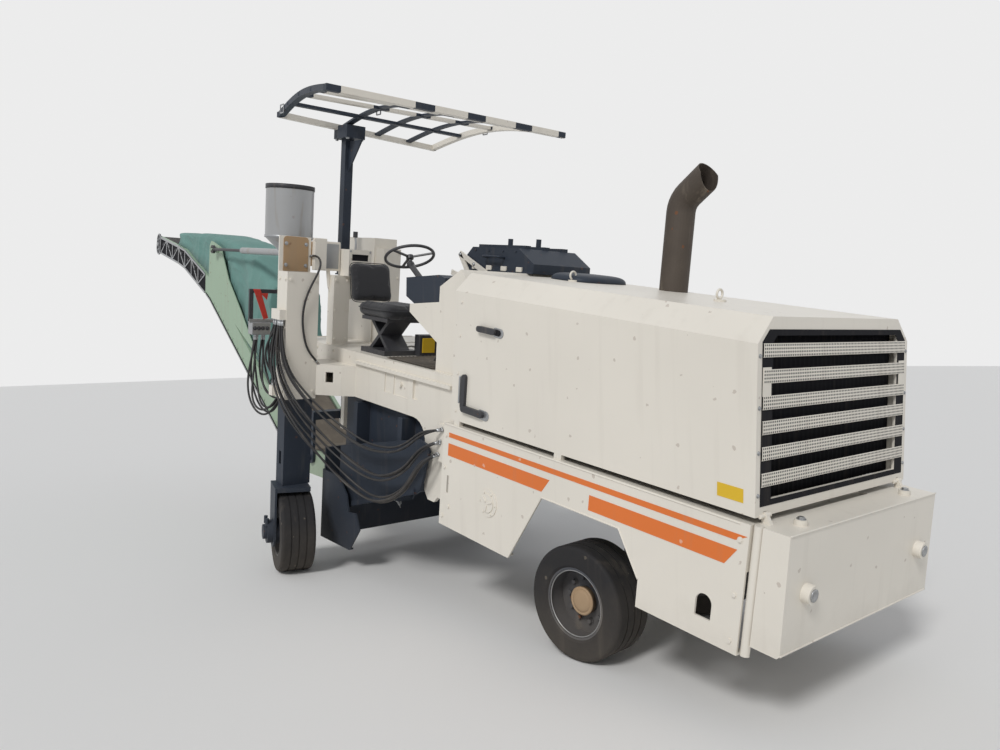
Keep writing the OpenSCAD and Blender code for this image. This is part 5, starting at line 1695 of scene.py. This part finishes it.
@dataclass
class UpperTrim:
    """Plates, panes, brackets, mats and fasteners round the driver's place.

    Attributes:
        deck: height of the platform's floor.
        rib: distance between two ribs of the mat.
        rib_high: half of a rib's height.
        tank: x and y of the round tank's middle.
    """

    deck: float = 1.100
    rib: float = 0.036
    rib_high: float = 0.002
    tank: tuple = (-3.5, -0.9)

    @staticmethod
    def column() -> None:
        """Adds the tan plate and the white box on the right column, with its bolts."""
        outline = [[-1.152, 1.722], [-0.938, 1.722], [-0.938, 1.975], [-0.948, 1.992]]
        outline += [[-0.965, 1.998], [-1.126, 1.998], [-1.143, 1.992], [-1.152, 1.975]]
        prism("column_tan_plate", outline, Axis.X, -3.0348, -3.0300, TAN)
        box = box_outline((-0.905, 1.740), (-0.795, 2.000))
        prism("column_box", box, Axis.X, -3.0349, -2.985, CREAM, bevel=0.006)
        prism("column_box_back", box_outline((-0.9149, 1.77), (-0.805, 1.97)), Axis.X, -3.0548, -3.0345, TAN)
        prism("column_box_strap", box_outline((-0.990, 1.80), (-0.900, 1.94)), Axis.X, -3.0547, -3.0489, TAN)
        spots = [(-3.030, y, z) for y in (-1.13, -0.96) for z in (1.77, 1.94)]
        bolts("column_plate_bolts", spots, (1, 0, 0), STEEL)
        for side in Side:
            y = side.value * 1.185
            spots = [(x, y, z) for x in (-3.005, -2.895) for z in (0.76, 1.04, 1.28, 1.66)]
            bolts(f"column_bolts_{side.label}", spots, (0, side.value, 0), CREAM)
            front = [(-2.865, side.value * yy, z) for yy in (0.945, 1.155) for z in (0.76, 1.02, 1.66)]
            bolts(f"column_front_bolts_{side.label}", front, (1, 0, 0), CREAM)

    @staticmethod
    def cabinet() -> None:
        """Adds the vent box's dark panes, its bolts, a small lamp box and a control lever."""
        for index, z in enumerate((1.7455, 1.8355)):
            pane = box_outline((-0.4795, z), (-0.3205, z + 0.054))
            prism(f"vent_pane_{index + 1}", pane, Axis.X, -3.1595, -3.150, BLACK, bevel=0.0)
        spots = [(-3.14, y, z) for y in (-0.495, -0.305) for z in (1.715, 1.915)]
        bolts("vent_bolts", spots, (1, 0, 0), STEEL, across=0.014, high=0.006)
        case = box_outline((-0.70, 1.735), (-0.515, 1.985))
        glass = box_outline((-0.680, 1.755), (-0.535, 1.965))
        prism("lamp_box", case, Axis.X, -3.332, -3.285, CREAM, bevel=0.008)
        prism("lamp_glass", glass, Axis.X, -3.286, -3.281, STEEL, bevel=0.003)
        rod("lamp_stay", [(-3.31, -0.62, 1.75), (-3.31, -0.60, 1.60), (-3.30, -0.56, 1.48)], 0.016, CREAM)
        stem = [(-3.20, -0.42, 1.925), (-3.195, -0.42, 1.98), (-3.20, -0.425, 2.045)]
        rod("lever_stem", stem, 0.009, STEEL)
        rod("lever_knob", [(-3.20, -0.425, z) for z in (2.035, 2.060, 2.085)], 0.020, DARK)
        spots = [(-3.16, y, z) for y in (-0.13, 0.0) for z in (1.16, 1.45, 1.70, 1.93)]
        bolts("cabinet_bolts", spots, (1, 0, 0), CREAM)
        spots = [(-3.22, y, z) for y in (-0.58, -0.47) for z in (1.15, 1.40, 1.66)]
        bolts("post_bolts", spots, (1, 0, 0), CREAM)

    def floor(self) -> None:
        """Adds the ribbed mat, the lashing ring, the tool case and the foot pedals on the platform."""
        y = np.linspace(-0.600, 0.420, 171)
        wave = np.sin(2 * math.pi * y / self.rib)
        z = self.deck + 0.0065 + self.rib_high * np.sign(wave) * np.abs(wave) ** 0.4
        points = points_of(np.linspace(-2.30, -1.66, 3)[:, None], y[None, :], z[None, :])
        mat = mesh_object("floor_mat", from_body(points), grid_faces(3, 171), BELT)
        seated(thickened(mat, 0.004), "chassis")
        angle = np.linspace(0, 2 * math.pi, 33)
        loop = points_of(-2.495, -0.250 + 0.060 * np.cos(angle), self.deck + 0.036 + 0.030 * np.sin(angle))
        dress_piece(tube("lashing_ring", from_body(loop), 0.008, CREAM), "chassis")
        case = box_outline((-0.270, 1.0995), (-0.100, 1.275))
        face = box_outline((-0.245, 1.130), (-0.125, 1.250))
        prism("tool_case", case, Axis.X, -2.42, -2.34, DARK, bevel=0.006)
        prism("tool_case_face", face, Axis.X, -2.341, -2.332, PLATE, slot=Slot.PLASTIC, bevel=0.003)
        tread = [(-1.80, 1.150), (-1.72, 1.245), (-1.712, 1.238), (-1.792, 1.143)]
        for index, y0 in enumerate((-0.50, -0.36)):
            prism(f"pedal_{index + 1}", tread, Axis.Y, y0, y0 + 0.085, DARK)
            stem = [(x, y0 + 0.042, z) for x, z in ((-1.755, 1.192), (-1.70, 1.16), (-1.66, 1.102))]
            rod(f"pedal_stem_{index + 1}", stem, 0.009, DARK)
        for side in Side:
            spots = [(x, side.value * 0.648, z) for x in (-3.70, -3.40, -3.10) for z in (0.98, 1.06)]
            bolts(f"platform_bolts_{side.label}", spots, (0, side.value, 0), CREAM)

    def tank_side(self) -> None:
        """Adds the tank's bands and the bracket, red strap and valve block on its post."""
        for index, (z0, z1, paint) in enumerate(((2.395, 2.432, DARK), (1.985, 2.010, STEEL))):
            ring = lathe([[0.200, z0], [0.2045, z0], [0.2045, z1], [0.200, z1]], 72)
            points = points_of(ring[..., 0] + self.tank[0], ring[..., 2] + self.tank[1], ring[..., 1])
            faces = grid_faces(4, 72, wrap_rows=True, wrap_columns=True)
            band = mesh_object(f"tank_band_{index + 1}", from_body(points), faces, paint)
            dress_piece(band, "chassis")
        prism("bracket_top", box_outline((-1.240, 1.512), (-0.958, 1.545)), Axis.X, -3.515, -3.485, DARK)
        prism("bracket_post", box_outline((-1.240, 1.270), (-1.205, 1.515)), Axis.X, -3.512, -3.488, DARK)
        prism("bracket_foot", box_outline((-1.240, 1.262), (-0.958, 1.292)), Axis.X, -3.515, -3.485, STEEL)
        strap = [(-1.212, 1.545), (-1.150, 1.545), (-1.075, 1.300), (-1.118, 1.290)]
        prism("bracket_red_strap", strap, Axis.X, -3.486, -3.476, RED, bevel=0.003)
        tail = [(-1.150, 1.512), (-1.08, 1.512), (-1.09, 1.455)]
        prism("bracket_red_tail", tail, Axis.X, -3.486, -3.479, RED)
        block = box_outline((-1.225, 1.160), (-1.060, 1.264))
        prism("valve_block", block, Axis.X, -3.545, -3.455, STEEL, bevel=0.005)
        spots = [(-3.455, y, 1.215) for y in (-1.20, -1.165, -1.13, -1.09)]
        bolts("valve_plugs", spots, (1, 0, 0), DARK, across=0.026, high=0.014)

    @staticmethod
    def box_lid() -> None:
        """Adds the hydraulic box's lid edge, handle, pale lugs, stays and screws."""
        prism("lid_edge", box_outline((-2.153, 1.828), (-1.317, 1.842)), Axis.Y, -0.010, 0.001, SLATE)
        handle = [(-1.86, -0.001, 1.935), (-1.86, -0.040, 1.938), (-1.84, -0.052, 1.94)]
        handle += [(-1.68, -0.052, 1.94), (-1.66, -0.040, 1.938), (-1.66, -0.001, 1.935)]
        rod("lid_handle", handle, 0.009, SLATE)
        for index, x in enumerate((-2.04, -1.86, -1.68, -1.50)):
            lug = box_outline((x, 1.836), (x + 0.062, 1.872))
            prism(f"lid_lug_{index + 1}", lug, Axis.Y, -0.016, 0.001, CREAM, bevel=0.004)
        low, high, foot, end = (
            (x, -0.020, z) for x, z in ((-1.66, 1.735), (-2.20, 1.955), (-2.02, 1.73), (-2.30, 1.80))
        )
        beams("box_stays", [[low, high], [high, foot], [end, foot]], 0.042, 0.014, (0, 1, 0), CREAM)
        spots = [(-2.00, -0.027, 1.873), (-1.74, -0.027, 1.768), (-2.19, -0.027, 1.945)]
        bolts("box_stay_bolts", spots, (0, -1, 0), STEEL)
        spots = [(x, 0.0, 1.985) for x in (-2.02, -1.85, -1.68, -1.53)]
        bolts("lid_screws", spots, (0, -1, 0), SLATE, across=0.016, high=0.006)

    def build(self) -> None:
        """Adds all of it."""
        self.column()
        self.cabinet()
        self.floor()
        self.tank_side()
        self.box_lid()


@dataclass
class LowerTrim:
    """Fasteners, weld seams and small fittings on the skirts and the counterweight.

    Attributes:
        skirt_y: half of the width over the skirts.
        cap_middle: x and z of the skirt cap's middle.
        cap_circle: radius of its circle of bolts.
        bead: radius of a weld bead, and how much it swells.
        ripple: distance between two ripples of a bead.
    """

    skirt_y: float = SKIRT_HALF
    cap_middle: tuple = (-0.748, 0.383)
    cap_circle: float = 0.073
    bead: tuple = (0.0042, 0.0012)
    ripple: float = 0.016

    def seam(self, name: str, points: list) -> None:
        """Adds a weld bead: a thin tube along a polyline, whose radius swells with each ripple.

        Args:
            name: the piece's name.
            points: the polyline in the body frame.
        """
        line = np.array(points)
        reach = steps_along(line)[-1]
        path = evenly(line, min(260, max(12, int(reach / 0.008))))
        wave = np.abs(np.sin(math.pi * np.linspace(0, reach, len(path)) / self.ripple))
        radius = self.bead[0] + self.bead[1] * wave
        way = unit(np.gradient(path, axis=0))
        rings = rings_about(path, way, (0.31, 0.52, 0.79), radius[:, None, None], 7)
        piece = mesh_object(name, from_body(rings), capped_faces(len(path), 7), CREAM)
        dress_piece(piece, "chassis")

    def cap(self, side: Side) -> None:
        """Adds the grips and bolts on the skirt's round cap.

        Args:
            side: the side of the machine.
        """
        y = side.value * self.skirt_y
        middle = np.array(self.cap_middle)
        for k in range(3):
            angle = math.radians(20 + 120 * k)
            way = np.array([math.cos(angle), math.sin(angle)])
            outline = stadium(middle + 0.018 * way, middle + 0.048 * way, 0.0075)
            span = side.span(self.skirt_y + 0.011, self.skirt_y + 0.019)
            prism(f"cap_grip_{k + 1}_{side.label}", outline, Axis.Y, *span, CREAM)
        angle = turn(6)
        x, z = middle[0] + self.cap_circle * np.cos(angle), middle[1] + self.cap_circle * np.sin(angle)
        spots = points_of(x, y + side.value * 0.006, z)
        bolts(f"cap_bolts_{side.label}", spots, (0, side.value, 0), CREAM, across=0.015, high=0.006)

    def build(self) -> None:
        """Adds the skirts' seams and bolts, the counterweight's seams and lugs, and the deck's seams."""
        for side in Side:
            y = side.value * self.skirt_y
            self.seam(f"seam_skirt_top_{side.label}", [(-1.262, y, 0.795), (1.050, y, 0.795)])
            arch = [(-0.522, y, 0.100), (-0.262, y, 0.553), (0.340, y, 0.553), (0.499, y, 0.331)]
            self.seam(f"seam_skirt_arch_{side.label}", arch)
            self.cap(side)
            places = ((-1.236, 0.72), (-1.236, 0.50), (-1.236, 0.16), (1.060, 0.72), (1.060, 0.46))
            spots = [(x, y, z) for x, z in places]
            bolts(f"skirt_bolts_{side.label}", spots, (0, side.value, 0), CREAM)
            profile = [[0.030, 0.034], [0.030, 0.0385], [0.018, 0.0385], [0.016, 0.036], [0.0005, 0.036]]
            lug = lathe(profile, 40)
            middle = np.array([1.303, side.value * 0.560, 0.520])
            points = points_of(lug[..., 1], lug[..., 0], lug[..., 2]) + middle
            face = mesh_object(f"lug_face_{side.label}", from_body(points), capped_faces(5, 40), STEEL)
            dress_piece(face, "chassis")
            spots = [(1.213, side.value * 0.520, 0.828)]
            bolts(f"filler_hex_{side.label}", spots, (0, 0, 1), STEEL, across=0.034, high=0.012)
        self.seam("seam_weight_low", [(1.303, -0.726, 0.262), (1.303, 0.726, 0.262)])
        self.seam("seam_weight_top", [(1.288, -0.726, 0.802), (1.288, 0.726, 0.802)])
        for x in (-3.85, -3.30, -1.30):
            self.seam(f"seam_deck_{int(-100 * x)}", [(x + 0.012, -0.620, 1.101), (x + 0.012, 0.620, 1.101)])


def dress_nodes() -> None:
    """Puts a finish on every CAD node."""
    both = ("right", "left")
    table = {
        CREAM: [
            "main_frame", "skirt_right", "skirt_left", "counterweight", "platform", "cowl", "rear_cabinet",
            "column_right", "column_left", "arm_right", "arm_left", "rear_mast", "hood", "grille",
        ],
        # canopy_frame gets this slate as painted shade of its undersides; CanopyTrim lays the frame's cream,
        # lit tops over it.
        SLATE: [
            "front_axle", "hydraulic_box", "console", "canopy_mast", "canopy_frame", "drum_housing", "drum",
            "scraper", "conveyor_yoke",
            *(f"{part}_{side}" for part in ("knuckle", "leg", "fork", "side_plate") for side in both),
        ],
        GREEN: ["boom"],
        RIM: [f"rim_{end}_{side}" for end in ("front", "rear") for side in both],
        STEEL: ["picks_right", "picks_left", "head_pulley", "tail_pulley"],
        DARK: ["stay_rod"],
        TANK: ["round_tank", "stay_tube"],
        SOOTY: ["exhaust"],
        TYRE: [f"tyre_{end}_{side}" for end in ("front", "rear") for side in both],
        BELT: ["belt"],
        PLASTIC: ["steering_column", "steering_wheel", "seat_stand"],
        ENGINE: ["engine", "radiator"],
        COVER: ["belt_cover"],
        CLOTH: ["seat"],
        RUBBER: list(Hoses().routes()),
    }
    for finish, nodes in table.items():
        for node in nodes:
            for place in bpy.data.objects[node].material_slots:
                place.material = finish.build()
            LOG.info("dressed %s", node)


def main() -> None:
    """Builds the scene in order."""
    studio = Studio()
    studio.camera()
    studio.floor()
    studio.light()
    dress_nodes()
    Hoses().build()
    trim = Bodywork()
    trim.stripes()
    trim.plates()
    for part in (WheelTrim, Grille, HoodTrim, CanopyTrim, BoomTruss, UpperTrim, LowerTrim, Seat, BeltCover):
        part().build()


if __name__ == "__main__":
    logging.basicConfig(level=logging.INFO)
    main()
